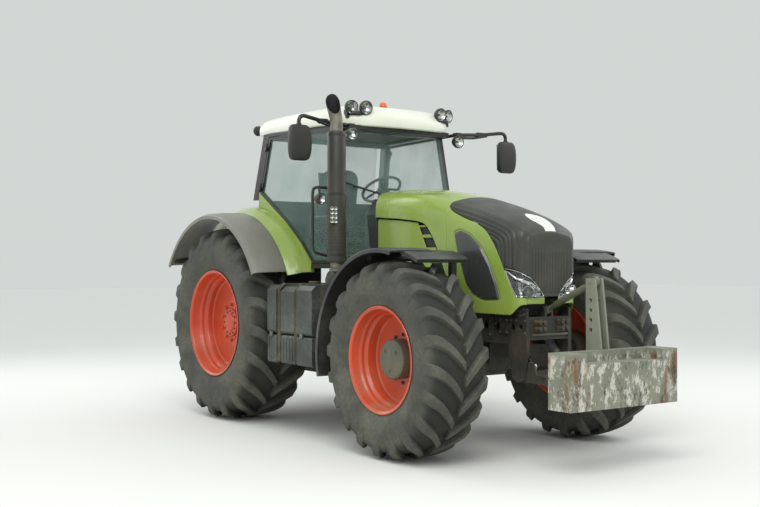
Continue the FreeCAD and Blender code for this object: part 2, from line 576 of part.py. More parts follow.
# Grab rails in front of both doors
RAIL_Y = 1010
rail = pipe([(1640, 700, 2330), (1625, 800, 2370), (1590, RAIL_Y - 20, 2380), (1575, RAIL_Y, 2350),
             (1575, RAIL_Y, 1760), (1640, 800, 1700), (1640, 690, 1690)], 15)
rail_lamp = fuse(rod((1600, 930, 2262), (1660, 930, 2262), 52),
                 rod((1625, 930, 2310), (1625, 930, 2378), 12))
rail = fuse(rail, rail_lamp).cut(cab_frame).cut(cab_floor)
save("grab_rails", rail, flip(rail))

# Mirrors on arms from the roof's front corners
arm = pipe([(1405, 685, ARM_Z), (1690, 668, ARM_Z), (1690, 1000, ARM_Z + 22), (1750, 1250, ARM_Z + 52),
            (1750, 1290, ARM_Z + 22), (1750, 1290, ARM_Z - 48)], MIRROR_ARM_R).cut(cab_frame)
mirror = fuse(arm, box(1725, 1785, 1170, 1410, ARM_Z - 378, ARM_Z - 38))
save("mirrors", mirror, flip(mirror))

# Tank with ribs on the right, tank with steps on the left. The columns are shares of the tank's length and
# distance from the middle
TANK_RIBS = ((0, 0.216, 1240, 27), (0.281, 0.593, 1225, 47), (0.665, 1, 1240, 27))
STEP_Z = (520, 800, 1080, 1360)
tank_length = TANK_FRONT - TANK_BACK


def tank_x(share):
    return TANK_BACK + tank_length * share


carry = box(tank_x(0.222), tank_x(0.88), 240, 505, 850, 950)
ribs = [box(tank_x(a), tank_x(b), 1150, y, TANK_LOW + drop - 27, TANK_TOP - drop)
        for a, b, y, drop in TANK_RIBS]
tank_right = fuse(box(TANK_BACK, TANK_FRONT, 500, 1150, TANK_LOW, TANK_TOP), carry, *ribs)
save("tank_right", flip(tank_right))
tank_left = [box(TANK_BACK, tank_x(0.4), 500, 1200, TANK_LOW, TANK_TOP),
             box(tank_x(0.4), TANK_FRONT, 500, 900, TANK_LOW, TANK_TOP), carry]
STEP_W = 26
STEP_LAP = (5.96, 6)
STEP_OUT = 1240
rail_x = (tank_x(0.449), TANK_FRONT - 66)
steps = [box(rail_x[0] + STEP_W - STEP_LAP[0], rail_x[1] + STEP_LAP[1], 880 if z > 640 else 980,
             STEP_OUT, z, z + STEP_W) for z in STEP_Z]
rails = [box(x, x + STEP_W, 890, STEP_OUT, 480, TANK_TOP + 13) for x in rail_x]
save("tank_left", fuse(*tank_left, *steps, *rails))

# Seat, control column with wheel
SEAT_Z = FLOOR_Z + 300
SEAT_BACK = [(430, SEAT_Z + 120), (560, SEAT_Z + 120), (480, SEAT_Z + 760), (370, SEAT_Z + 760)]
seat = fuse(box(480, 960, -250, 250, SEAT_Z, SEAT_Z + 140), prism_y(SEAT_BACK, -240, 240),
            box(560, 880, -180, 180, FLOOR_Z + 40, SEAT_Z + 5),
            box(500, 900, -420, -300, SEAT_Z + 180, SEAT_Z + 250),
            box(560, 640, -420, -240, SEAT_Z + 60, SEAT_Z + 190))
save("seat", seat)
COLUMN_FOOT = V(1420, 0, FLOOR_Z + 600)
COLUMN_TOP = V(1290, 0, FLOOR_Z + 790)
column_way = (COLUMN_TOP - COLUMN_FOOT).normalize()
dash = [(1330, FLOOR_Z + 40), (1500, FLOOR_Z + 40), (1500, FLOOR_Z + 640), (1470, FLOOR_Z + 700),
        (1400, FLOOR_Z + 650)]
save("console", fuse(prism_y(dash, -200, 200), rod(COLUMN_FOOT, COLUMN_TOP, 34)))
wheel_mid = COLUMN_TOP + column_way * 32
spokes = []
for turn in (90, 210, 330):
    spoke = Part.makeBox(200, 26, 12, V(0, -13, 0))
    spoke.Placement = FreeCAD.Placement(wheel_mid, FreeCAD.Rotation(V(0, 0, 1), column_way))
    spokes.append(turned(spoke, wheel_mid, column_way, turn))
wheel_hub = Part.makeCylinder(45, 40, COLUMN_TOP, column_way)
save("steering_wheel", fuse(Part.makeTorus(205, 15, wheel_mid, column_way), wheel_hub, *spokes))

# Front linkage: arms, ballast with mast, top link, cylinders
LIFT_END = (front(1250), 660)
LIFT_END_R = 18
CYL_EYE = (front(680), 775)
CYL_EYE_R = 14
CYL_Y = 180
ARM_PLAN = ((540, 120), (540, 215), (820, 215), (1160, 415), (1280, 415), (1280, 350), (1200, 350),
            (870, 150), (820, 120))
arm = prism_z([(front(x), y) for x, y in ARM_PLAN], 640, 712)
lug = prism_y([(front(600), 700), (front(760), 700), (front(720), 812), (front(640), 812)], 200, 215)
arm = fuse(arm, eye(LIFT_END, 350, 415, 46), eye(LIFT_PIVOT, 120, 215, 62), lug,
           eye(CYL_EYE, 140, 215, CYL_EYE_R))
arm = arm.cut(eye(LIFT_PIVOT, 100, 230, LIFT_PIN_R + SEAT_GAP))
arm = arm.cut(eye(LIFT_END, 340, 430, LIFT_END_R + SEAT_GAP))
save("front_lift_arms", fuse(both(arm), rod_y(front(810), 676, -125, 125, 34)))

MAST_PIN = (front(1212), 1500)
MAST_PIN_R = 15
LINK_HALF = 22
block = box(front(1306), front(REACH_FRONT), -613, 613, 515, 957)
block = block.cut(box(front(1380), front(1650), -430, 430, 872, 1000))
mast = prism_y([(front(1170), 560), (front(1330), 560), (front(1330), 957), (front(1262), 1530),
                (front(1165), 1530), (front(1165), 1300)], 32, 52)
for hole_z in (1110, 1190, 1270, 1350):
    mast = mast.cut(rod_y(front(1218), hole_z, 0, 100, 17))
hook = fuse(box(front(1220), front(1310), 424, 446, 600, 720),
            box(front(1220), front(1310), 318, 340, 600, 720),
            eye(LIFT_END, 318, 446, LIFT_END_R))
save("ballast_block", fuse(block, both(fuse(mast, hook, eye(MAST_PIN, LINK_HALF + 1, 60, MAST_PIN_R)))))

# The top link's solid front end lies between the mast's two stub pins
link = fuse(rod((TOP_LINK_PIN[0], 0, TOP_LINK_PIN[1]), (MAST_PIN[0], 0, MAST_PIN[1]), 20),
            rod((front(762), 0, 1300), (front(1100), 0, 1450), 27),
            eye(TOP_LINK_PIN, -LINK_HALF, LINK_HALF, 38), eye(MAST_PIN, -LINK_HALF, LINK_HALF, 44))
link = link.cut(eye(TOP_LINK_PIN, -30, 30, LINK_BORE_R + SEAT_GAP))
save("front_top_link", link)


def along(a, b, y, t0, t1, r):
    """Round bar in the plane at y, from share t0 to t1 of the way from a to b."""
    p = (a[0] + (b[0] - a[0]) * t0, y, a[1] + (b[1] - a[1]) * t0)
    q = (a[0] + (b[0] - a[0]) * t1, y, a[1] + (b[1] - a[1]) * t1)
    return rod(p, q, r)


ROD_R = 16
EYE_PLAY = 8
barrel = fuse(along(CYL_TOP, CYL_EYE, CYL_Y, 0, 0.66, 36), eye(CYL_TOP, CYL_Y - 36, CYL_Y + 36, 44))
barrel = barrel.cut(eye(CYL_TOP, CYL_Y - 50, CYL_Y + 50, CYL_PIN_R + SEAT_GAP))
barrel = barrel.cut(along(CYL_TOP, CYL_EYE, CYL_Y, 0.22, 0.70, ROD_R + SEAT_GAP))
save("front_cylinders", barrel, flip(barrel))
piston = fuse(along(CYL_TOP, CYL_EYE, CYL_Y, 0.50, 1.0, ROD_R), eye(CYL_EYE, CYL_Y - 15, CYL_Y + 12, 34))
piston = piston.cut(eye(CYL_EYE, CYL_Y - 30, CYL_Y + 30, CYL_EYE_R + EYE_PLAY))
save("front_rods", piston, flip(piston))

# Rear linkage: lower links, lift arms and lift rods
LINK_END = (-1155, 560)
LINK_EYE_R = 19
ROD_LOW = (-800, 591)
ROD_HIGH = (-700, AXLE_Z + 185)
ROD_PIN_R = 14
lower = fuse(rod((LINK_PIVOT[0], 395, LINK_PIVOT[1]), (LINK_END[0], 430, LINK_END[1]), 30),
             eye(LINK_PIVOT, 368, 422, 50), eye(LINK_END, 405, 455, 45))
lower = lower.cut(eye(LINK_PIVOT, 340, 460, LINK_PIN_R + SEAT_GAP)).cut(eye(LINK_END, 380, 470, LINK_EYE_R))
lower = fuse(lower, eye(ROD_LOW, 400, 492, ROD_PIN_R))
save("rear_lower_links", lower, flip(lower))
arm_z = ARM_PIVOT[1]
lift = fuse(prism_y([(-205, arm_z - 45), (-205, arm_z + 45), (-300, arm_z + 65), (-725, arm_z + 20),
                     (-725, arm_z - 38), (-300, arm_z - 65)], 370, 410),
            eye(ARM_PIVOT, 365, 420, 65), eye(ROD_HIGH, 370, 492, ROD_PIN_R))
lift = lift.cut(eye(ARM_PIVOT, 340, 440, ARM_PIN_R + SEAT_GAP))
save("rear_lift_arms", lift, flip(lift))
ROD_Y = 470
lift_rod = fuse(along(ROD_LOW, ROD_HIGH, ROD_Y, 0, 1, 18), along(ROD_LOW, ROD_HIGH, ROD_Y, 0.15, 0.7, 28),
                eye(ROD_LOW, 455, 485, 34), eye(ROD_HIGH, 455, 485, 38))
lift_rod = lift_rod.cut(eye(ROD_LOW, 440, 500, ROD_PIN_R + SEAT_GAP))
lift_rod = lift_rod.cut(eye(ROD_HIGH, 440, 500, ROD_PIN_R + EYE_PLAY))
save("rear_lift_rods", lift_rod, flip(lift_rod))

# Drawbar, stub shaft and upper bracket at the back
drawbar = fuse(box(-900, 300, -40, 40, 470, 520), box(-300, 300, -110, 110, 440, AXLE_Z - 455))
drawbar = drawbar.cut(Part.makeCylinder(18, 100, V(-860, 0, 450)))
stub = rod((-430, 0, AXLE_Z - 215), (-560, 0, AXLE_Z - 215), 24)
UPPER_HOLE = (-535, 1030)
upper = both(prism_y([(-430, 950), (-560, 1000), (-560, 1060), (-430, 1120)], 40, 60))
upper = upper.cut(eye(UPPER_HOLE, -80, 80, 14))
save("rear_hitch", drawbar, stub, upper)
print("nodes written")
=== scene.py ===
import math

import bmesh
import bpy
import json
import numpy as np
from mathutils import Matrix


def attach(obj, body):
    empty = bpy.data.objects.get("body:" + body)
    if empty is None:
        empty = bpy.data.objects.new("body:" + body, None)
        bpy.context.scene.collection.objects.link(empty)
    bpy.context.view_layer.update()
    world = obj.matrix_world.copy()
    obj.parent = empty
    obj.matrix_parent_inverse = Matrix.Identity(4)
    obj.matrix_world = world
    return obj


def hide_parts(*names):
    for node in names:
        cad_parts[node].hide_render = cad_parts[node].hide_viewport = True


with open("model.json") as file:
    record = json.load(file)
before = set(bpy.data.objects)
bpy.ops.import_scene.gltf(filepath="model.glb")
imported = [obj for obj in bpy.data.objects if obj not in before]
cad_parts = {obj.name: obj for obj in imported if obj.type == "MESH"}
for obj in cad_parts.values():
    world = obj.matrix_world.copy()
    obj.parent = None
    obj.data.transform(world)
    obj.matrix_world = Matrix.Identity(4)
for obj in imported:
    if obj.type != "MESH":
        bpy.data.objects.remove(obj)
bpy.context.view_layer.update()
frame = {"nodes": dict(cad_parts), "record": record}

# Sizes in metres. Pieces are drawn from the rear axle, X forward, Y left, Z up, and shift back by MIDDLE_X
MIDDLE_X = 1.7
AXLE_Z = 1.015
WHEELBASE = 3.05
FRONT_Z = 0.84
REAR_TRACK = 0.98
FRONT_TRACK = 1.036
ROOF_LOW = 3.03
ROOF_TOP = 3.25
SIDES = (("left", 1), ("right", -1))
UP, LEFT, AHEAD = (0, 0, 1), (0, 1, 0), (1, 0, 0)
MIRROR = np.array([1, -1, 1])
TURN = 2 * np.pi


# ---------------------------------------------------------------- surfaces
def grid(points, wrap_rows=False, wrap_columns=False):
    """Quads over points[row, column]; wrapping joins the last row or column to the first."""
    rows, columns = points.shape[:2]
    index = np.arange(rows * columns).reshape(rows, columns)
    if wrap_rows:
        index = np.vstack([index, index[:1]])
    if wrap_columns:
        index = np.hstack([index, index[:, :1]])
    quads = np.stack([index[:-1, :-1], index[1:, :-1], index[1:, 1:], index[:-1, 1:]], axis=-1)
    return points.reshape(-1, 3), quads.reshape(-1, 4).tolist()


def closed_tube(points):
    """Quads round every row of points, with the first and the last row closed by a face each."""
    rows, columns = points.shape[:2]
    verts, faces = grid(points, False, True)
    return verts, faces + [list(range(columns)), list(range((rows - 1) * columns, rows * columns))]


def frame_of(axis):
    """The unit axis and two unit vectors square to it."""
    axis = np.asarray(axis, float) / np.linalg.norm(axis)
    side = np.cross(axis, np.eye(3)[np.argmin(np.abs(axis))])
    side /= np.linalg.norm(side)
    return axis, side, np.cross(axis, side)


def turned(profile, centre, axis=LEFT, steps=48, closed=False):
    """A profile of (way along the axis, radius) turned about it: point = centre + way * axis
    + radius * (cos a * side + sin a * up). A closed profile makes a ring, an open one ends on the axis."""
    axis, side, up = frame_of(axis)
    way, radius = np.array(profile, float).T
    a = np.linspace(0, TURN, steps, endpoint=False)[:, None, None]
    ring = np.cos(a) * side + np.sin(a) * up
    return grid(np.asarray(centre, float) + way[None, :, None] * axis + radius[None, :, None] * ring, True, closed)


def arch(profile, centre, start, stop, steps):
    """A closed profile of (y, radius) swept about a wheel's axis from one angle to another, ends closed."""
    y, radius = np.array(profile, float).T
    a = np.radians(np.linspace(start, stop, steps))[:, None]
    return closed_tube(np.stack([centre[0] + radius * np.cos(a), centre[1] + y + 0 * a,
                                 centre[2] + radius * np.sin(a)], -1))


def bend(points, radius, steps):
    """Straight runs whose corners become quadratic curves that start radius before the corner."""
    p = np.array(points, float)
    corner = p[1:-1]

    def toward(q):
        way = q - corner
        length = np.linalg.norm(way, axis=1, keepdims=True)
        return corner + way / length * np.minimum(radius, 0.48 * length)

    a, b = toward(p[:-2]), toward(p[2:])
    s = np.linspace(0, 1, steps)[None, :, None]
    curve = (1 - s) ** 2 * a[:, None] + 2 * s * (1 - s) * corner[:, None] + s ** 2 * b[:, None]
    return np.vstack([p[:1], curve.reshape(-1, 3), p[-1:]])


def tube(path, radius, sides):
    """A ring carried along a path: point = path + radius * (cos a * side + sin a * up), with side square to
    the path and to the direction that the path keeps away from most; both ends are closed."""
    p = np.asarray(path, float)
    way = np.gradient(p, axis=0)
    way /= np.linalg.norm(way, axis=1, keepdims=True)
    side = np.cross(way, np.eye(3)[np.argmin(np.abs(way).max(axis=0))])
    side /= np.linalg.norm(side, axis=1, keepdims=True)
    up = np.cross(way, side)
    a = np.linspace(0, TURN, sides, endpoint=False)[None, :, None]
    radius = np.broadcast_to(radius, len(p))[:, None, None]
    return closed_tube(p[:, None] + radius * (np.cos(a) * side[:, None] + np.sin(a) * up[:, None]))


def plate(outline, axis, low, high):
    """A flat outline pushed along an axis between two heights, given in either order, closed at both ends."""
    ends = np.empty((2, len(outline), 3))
    ends[:, :, [i for i in range(3) if i != axis]] = np.array(outline, float)
    ends[0, :, axis], ends[1, :, axis] = sorted((low, high))
    return closed_tube(ends)


def block(x0, x1, y0, y1, z0, z1):
    """A cuboid as a plate: the rectangle from y0 to y1 and z0 to z1, pushed from x0 to x1."""
    y0, y1 = sorted((y0, y1))
    return plate([(y0, z0), (y1, z0), (y1, z1), (y0, z1)], 0, x0, x1)


def rod(a, b, radius, sides, lip=0.0):
    """A round bar from a to b, with an edge turned by lip at both ends."""
    a, b = np.array(a, float), np.array(b, float)
    length = np.linalg.norm(b - a)
    return turned([(0, 0), (0, radius - lip), (lip, radius), (length - lip, radius), (length, radius - lip),
                   (length, 0)], a, b - a, sides)


def bolts(centre, axis, ring_radius, count, radius, height):
    """Hexagon heads on a bolt circle, with a thin washer under each."""
    axis, side, up = frame_of(axis)
    made = []
    for turn in np.arange(count) * TURN / count:
        foot = np.asarray(centre) + ring_radius * (np.cos(turn) * side + np.sin(turn) * up)
        made.append(turned([(0, 0), (0, radius * 1.35), (0.003, radius * 1.35), (0.003, 0)], foot, axis, 16))
        made.append(turned([(0.003, 0), (0.003, radius), (height - 0.002, radius), (height, radius * 0.85),
                            (height, 0)], foot, axis, 6))
    return made


def signed_power(value, power):
    """The value's size raised to a power, with its sign kept."""
    return np.sign(value) * np.abs(value) ** power


def cushion(centre, half, power, rows, columns):
    """A crowned closed form: point = centre + half * (f(cos v) f(cos u), f(cos v) f(sin u), f(sin v)),
    where f keeps the sign and raises the size to a power."""
    v = np.linspace(-np.pi / 2, np.pi / 2, rows)[:, None]
    u = np.linspace(0, TURN, columns, endpoint=False)[None, :]
    x = signed_power(np.cos(v), power) * signed_power(np.cos(u), power)
    y = signed_power(np.cos(v), power) * signed_power(np.sin(u), power)
    z = signed_power(np.sin(v), 0.8) + 0 * u
    return grid(np.asarray(centre) + np.stack([x, y, z], -1) * np.asarray(half), False, True)


def tilted(part, centre, degrees):
    """The surface turned about the Y direction through centre: v cos a + (axis x v) sin a
    + axis (axis . v) (1 - cos a)."""
    axis, a = np.array(LEFT, float), math.radians(degrees)
    v = np.asarray(part[0], float) - centre
    v = v * math.cos(a) + np.cross(axis, v) * math.sin(a) + np.outer(v @ axis, axis) * (1 - math.cos(a))
    return v + centre, part[1]


def soft(value, low, high):
    """A smooth step t * t * (3 - 2 t), with t the share of the way from low to high."""
    t = np.clip((value - low) / (high - low), 0, 1)
    return t * t * (3 - 2 * t)


def hump(value, low, high):
    """One near zero on either side, down to nothing as the value's size goes from low to high."""
    return 1 - soft(np.abs(value), low, high)


def piece(name, groups, body, node=(), bevel=0.0, angle=35, thick=0.0, closed=True, marks=None):
    """Joins surfaces into one object that rides on a body. Each group is a finish and the parts that have it."""
    parts = [part for _, *members in groups for part in members]
    paints = [paint for paint, *members in groups for _ in members]
    table = list(dict.fromkeys(paints))
    verts = np.vstack([np.asarray(v, float) for v, _ in parts])
    verts[:, 0] -= MIDDLE_X
    faces, index, first = [], [], 0
    for (v, f), paint in zip(parts, paints):
        faces += [[i + first for i in face] for face in f]
        index += [table.index(paint)] * len(f)
        first += len(v)
    mesh = bpy.data.meshes.new(name)
    mesh.from_pydata(verts.tolist(), [], faces)
    for paint in table:
        mesh.materials.append(paint)
    mesh.polygons.foreach_set("material_index", index)
    for mark, values in (marks or {}).items():
        layer = mesh.attributes.new(mark, "FLOAT", "POINT")
        layer.data.foreach_set("value", np.asarray(values, float).ravel())
    work = bmesh.new()
    work.from_mesh(mesh)
    bmesh.ops.remove_doubles(work, verts=work.verts, dist=0.00002)
    if closed:
        bmesh.ops.recalc_face_normals(work, faces=work.faces)
    work.to_mesh(mesh)
    work.free()
    mesh.shade_smooth()
    if not bevel:
        mesh.set_sharp_from_angle(angle=math.radians(angle))
    made = bpy.data.objects.new(name, mesh)
    bpy.context.collection.objects.link(made)
    if thick:
        wall = made.modifiers.new("wall", "SOLIDIFY")
        wall.thickness = thick
        wall.offset = -1
    if bevel:
        round_edges(made, bevel, angle).harden_normals = True
    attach(made, body)
    if node:
        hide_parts(node)
    return made


def round_edges(thing, width, angle):
    """A two-step bevel on every edge sharper than the angle."""
    edge = thing.modifiers.new("edge", "BEVEL")
    edge.width = width
    edge.segments = 2
    edge.limit_method = "ANGLE"
    edge.angle_limit = math.radians(angle)
    return edge


# ---------------------------------------------------------------- finishes
def tone(red, green, blue):
    """Screen colour as light."""
    c = np.array([red, green, blue], float)
    return tuple(np.where(c <= 0.04045, c / 12.92, ((c + 0.055) / 1.055) ** 2.4)) + (1.0,)


def feed(tree, sockets, values):
    """Sets each socket to its number or colour, or links it to its output socket; None leaves it alone."""
    for socket, value in zip(sockets, values):
        if isinstance(value, (int, float, tuple)):
            socket.default_value = value
        elif value is not None:
            tree.links.new(value, socket)


def effect(name, inputs, *outputs):
    """An empty node group with named number sockets, and its two ends."""
    group = bpy.data.node_groups.new(name, "ShaderNodeTree")
    for label, value in inputs:
        group.interface.new_socket(label, in_out="INPUT", socket_type="NodeSocketFloat").default_value = value
    for label in outputs:
        group.interface.new_socket(label, in_out="OUTPUT", socket_type="NodeSocketFloat")
    return group, group.nodes.new("NodeGroupInput").outputs, group.nodes.new("NodeGroupOutput").inputs


def calc(tree, how, a, b=None):
    node = tree.nodes.new("ShaderNodeMath")
    node.operation = how
    feed(tree, node.inputs, (a, b))
    return node.outputs[0]


def spread(tree, value, low, high, to_low=0.0, to_high=1.0):
    """The value's smooth way from low to high, as a number from to_low to to_high."""
    node = tree.nodes.new("ShaderNodeMapRange")
    node.interpolation_type = "SMOOTHSTEP"
    feed(tree, node.inputs, (value, low, high, to_low, to_high))
    return node.outputs[0]


def blended(tree, share, a, b):
    node = tree.nodes.new("ShaderNodeMix")
    node.data_type = "RGBA"
    feed(tree, (node.inputs[0], node.inputs[6], node.inputs[7]), (share, a, b))
    return node.outputs[2]


def coordinates(tree, kind="Object"):
    return tree.nodes.new("ShaderNodeTexCoord").outputs[kind]


def axes_of(tree, vector):
    """The three numbers of a vector."""
    node = tree.nodes.new("ShaderNodeSeparateXYZ")
    tree.links.new(vector, node.inputs[0])
    return node.outputs


def mark_of(tree, name):
    """A piece's own mark, carried by its points."""
    node = tree.nodes.new("ShaderNodeAttribute")
    node.attribute_name = name
    return node.outputs["Fac"]


def speckle(tree, scale, detail=4.0, rough=0.55, stretch=None):
    """Noise over Object coordinates, stretched by three numbers when they are given."""
    where = coordinates(tree)
    if stretch:
        mapping = tree.nodes.new("ShaderNodeMapping")
        feed(tree, (mapping.inputs[0], mapping.inputs["Scale"]), (where, stretch))
        where = mapping.outputs[0]
    noise = tree.nodes.new("ShaderNodeTexNoise")
    feed(tree, [noise.inputs[label] for label in ("Vector", "Scale", "Detail", "Roughness")],
         (where, scale, detail, rough))
    return noise.outputs["Fac"]


def make_dust():
    """Field dust: thick low down, thinner on flat upper faces, broken up by two sizes of noise."""
    group, start, end = effect("field_dust", [("Amount", 0.5), ("Low", 0.4), ("High", 1.8)], "Mask")
    low = spread(group, axes_of(group, coordinates(group))[2], start["Low"], start["High"], 1.0, 0.12)
    facing = group.nodes.new("ShaderNodeNewGeometry").outputs["Normal"]
    top = spread(group, axes_of(group, facing)[2], 0.3, 1.0, 0.0, 0.35)
    broken = calc(group, "ADD", spread(group, speckle(group, 3.5), 0.30, 0.72), 0.25)
    fine = spread(group, speckle(group, 34.0, 6.0, 0.7), 0.35, 0.70, 0.55, 1.1)
    mask = calc(group, "MULTIPLY", calc(group, "MULTIPLY", calc(group, "ADD", low, top), broken), fine)
    mask = calc(group, "MULTIPLY", mask, start["Amount"])
    group.links.new(calc(group, "MINIMUM", mask, 0.9), end["Mask"])
    return group


def make_chips():
    """Scratches and chips: the highest spots of a fine noise inside patches of a broad one."""
    group, start, end = effect("chips", [("Amount", 0.3), ("Scale", 60.0)], "Mask")
    fine = speckle(group, start["Scale"], 8.0, 0.75)
    broad = spread(group, speckle(group, 4.0, 3.0), 0.45, 0.7)
    edge = calc(group, "SUBTRACT", 0.78, calc(group, "MULTIPLY", start["Amount"], 0.22))
    edge = calc(group, "SUBTRACT", edge, calc(group, "MULTIPLY", broad, 0.08))
    group.links.new(spread(group, fine, edge, calc(group, "ADD", edge, 0.02)), end["Mask"])
    return group


def make_grain():
    """Surface grain: fine noise as a height, and a slow waviness as a change of gloss."""
    group, start, end = effect("grain", [("Scale", 300.0)], "Height", "Gloss")
    group.links.new(speckle(group, start["Scale"], 3.0, 0.6), end["Height"])
    group.links.new(spread(group, speckle(group, 5.0), 0.3, 0.7, -0.06, 0.08), end["Gloss"])
    return group


DUST = make_dust()
CHIPS = make_chips()
GRAIN = make_grain()
DUST_TONE = (0.54, 0.50, 0.40)


def use(tree, group, **values):
    """A group placed in a material with its own values."""
    node = tree.nodes.new("ShaderNodeGroup")
    node.node_tree = group
    for label, value in values.items():
        node.inputs[label].default_value = value
    return node.outputs


def new_material(name):
    material = bpy.data.materials.new(name)
    material.use_nodes = True
    return material, material.node_tree, material.node_tree.nodes["Principled BSDF"].inputs


def finish(name, colour, gloss, metal=0.0, coat=0.0, dust=0.5, low=0.3, high=1.9, shade=None, shade_scale=2.0,
           chips=0.0, chip_tone=None, grain=280.0, bump=0.0006, dust_tone=DUST_TONE):
    """A painted, moulded or cast finish: base and shade mixed by broad noise, chips, then dust over both."""
    material, tree, skin = new_material(name)
    mixed = blended(tree, spread(tree, speckle(tree, shade_scale, 3.0), 0.30, 0.70), tone(*colour), tone(*shade))
    if chips:
        mixed = blended(tree, use(tree, CHIPS, Amount=chips)["Mask"], mixed, tone(*chip_tone))
    veil = use(tree, DUST, Amount=dust, Low=low, High=high)["Mask"]
    tree.links.new(blended(tree, veil, mixed, tone(*dust_tone)), skin["Base Color"])
    surface = use(tree, GRAIN, Scale=grain)
    rough = calc(tree, "ADD", gloss, surface["Gloss"])
    rough = calc(tree, "ADD", rough, calc(tree, "MULTIPLY", veil, 0.35))
    tree.links.new(calc(tree, "MINIMUM", rough, 0.95), skin["Roughness"])
    skin["Metallic"].default_value = metal
    if coat:
        skin["Coat Weight"].default_value = coat
        skin["Coat Roughness"].default_value = 0.12
    bumped = tree.nodes.new("ShaderNodeBump")
    feed(tree, [bumped.inputs[label] for label in ("Distance", "Strength", "Height")],
         (bump, 0.6, surface["Height"]))
    tree.links.new(bumped.outputs[0], skin["Normal"])
    return material


def painted_over(material, share, colour):
    """Blends a colour over the material's own where share is high."""
    tree = material.node_tree
    base = tree.nodes["Principled BSDF"].inputs["Base Color"]
    tree.links.new(blended(tree, share, base.links[0].from_socket, tone(*colour)), base)


def glass(name, colour, alpha, dirty):
    """Clear pane: a thin tinted coat that lets most light straight through, with smears and a little dirt."""
    material, tree, skin = new_material(name)
    tree.links.new(spread(tree, speckle(tree, 3.0, 2.0, 0.45), 0.35, 0.70, alpha, alpha + dirty), skin["Alpha"])
    tree.links.new(spread(tree, speckle(tree, 3.0, 4.0), 0.3, 0.7, 0.03, 0.15), skin["Roughness"])
    tint = blended(tree, spread(tree, speckle(tree, 2.0), 0.3, 0.7), tone(*colour),
                   tone(*(c * 0.9 for c in colour)))
    tree.links.new(tint, skin["Base Color"])
    skin["Specular IOR Level"].default_value = 0.9
    return material


LEAF, SHADED_LEAF, LEAF_CHIP = (0.57, 0.66, 0.28), (0.52, 0.62, 0.24), (0.30, 0.30, 0.22)
GREEN = finish("green_paint", LEAF, 0.28, coat=0.5, dust=0.32, low=0.6, high=2.3, shade=SHADED_LEAF, chips=0.10,
               chip_tone=LEAF_CHIP, bump=0.0002)
ROOF = finish("roof_plastic", (0.90, 0.91, 0.85), 0.38, coat=0.2, dust=0.18, low=2.2, high=3.4,
              shade=(0.86, 0.87, 0.80), bump=0.0003)
GREY_SKIN = finish("grey_fender", (0.50, 0.50, 0.46), 0.42, dust=0.45, low=0.6, high=2.2, chips=0.1,
                   shade=(0.44, 0.44, 0.40), chip_tone=(0.65, 0.64, 0.58))
BLACK = finish("black_plastic", (0.095, 0.10, 0.095), 0.48, dust=0.55, low=0.3, high=2.4,
               shade=(0.13, 0.13, 0.12), grain=420.0, bump=0.0008)
BLACK_PAINT = finish("black_paint", (0.085, 0.09, 0.085), 0.38, coat=0.2, dust=0.35, low=0.4, high=2.2,
                     shade=(0.11, 0.11, 0.10))
CAST = finish("dark_casting", (0.185, 0.195, 0.185), 0.52, metal=0.15, dust=0.38, high=1.7, chips=0.25,
              shade=(0.13, 0.14, 0.13), chip_tone=(0.30, 0.21, 0.13), grain=160.0, bump=0.0014)
LINK = finish("linkage_paint", (0.24, 0.25, 0.235), 0.46, metal=0.1, dust=0.32, low=0.4, high=1.8, chips=0.35,
              shade=(0.18, 0.19, 0.175), chip_tone=(0.32, 0.22, 0.14), grain=200.0, bump=0.0008)
TOP_LINK = finish("top_link_paint", (0.42, 0.43, 0.36), 0.48, metal=0.1, dust=0.35, low=0.4, high=2.0, chips=0.4,
                  shade=(0.34, 0.35, 0.29), chip_tone=(0.33, 0.22, 0.13), grain=200.0, bump=0.0008)
CYLINDER = finish("cylinder_paint", (0.40, 0.43, 0.45), 0.36, coat=0.2, dust=0.30, low=0.4, high=1.8, chips=0.3,
                  shade=(0.33, 0.36, 0.38), chip_tone=(0.18, 0.17, 0.15))
BRASS = finish("brass_fitting", (0.56, 0.51, 0.36), 0.38, metal=0.7, dust=0.35, low=0.4, high=1.8,
               shade=(0.42, 0.38, 0.27))
RIM = finish("rim_paint", (0.82, 0.27, 0.11), 0.36, coat=0.35, dust=0.40, low=0.1, chips=0.2,
             shade=(0.74, 0.23, 0.10), chip_tone=(0.45, 0.30, 0.22), dust_tone=(0.62, 0.50, 0.38))
RUSTY_RIM = finish("rim_bolts", (0.55, 0.24, 0.13), 0.45, dust=0.4, low=0.1, shade=(0.42, 0.22, 0.14))
RUBBER = finish("tyre_rubber", (0.175, 0.18, 0.17), 0.70, dust=0.62, low=0.2, high=3.4,
                shade=(0.225, 0.23, 0.21), shade_scale=5.0, grain=110.0, bump=0.0018,
                dust_tone=(0.44, 0.44, 0.38))
METAL = finish("bare_metal", (0.46, 0.48, 0.43), 0.45, metal=0.7, dust=0.35, low=0.5, high=2.4,
               shade=(0.38, 0.40, 0.35), grain=120.0)
CHROME = finish("rod_chrome", (0.78, 0.79, 0.78), 0.16, metal=1.0, dust=0.15, high=1.6, shade=(0.70, 0.71, 0.70))
HUB = finish("hub_paint", (0.36, 0.38, 0.33), 0.50, metal=0.1, dust=0.55, low=0.1, chips=0.3,
             shade=(0.31, 0.33, 0.28), chip_tone=(0.24, 0.18, 0.12))
FABRIC = finish("seat_cloth", (0.20, 0.21, 0.21), 0.85, dust=0.15, low=0.5, high=2.0, shade=(0.16, 0.17, 0.17),
                grain=650.0, bump=0.0016)
GLASS = glass("clear_glass", (0.58, 0.70, 0.66), 0.15, 0.07)
LENS = glass("lamp_lens", (0.90, 0.92, 0.92), 0.03, 0.02)
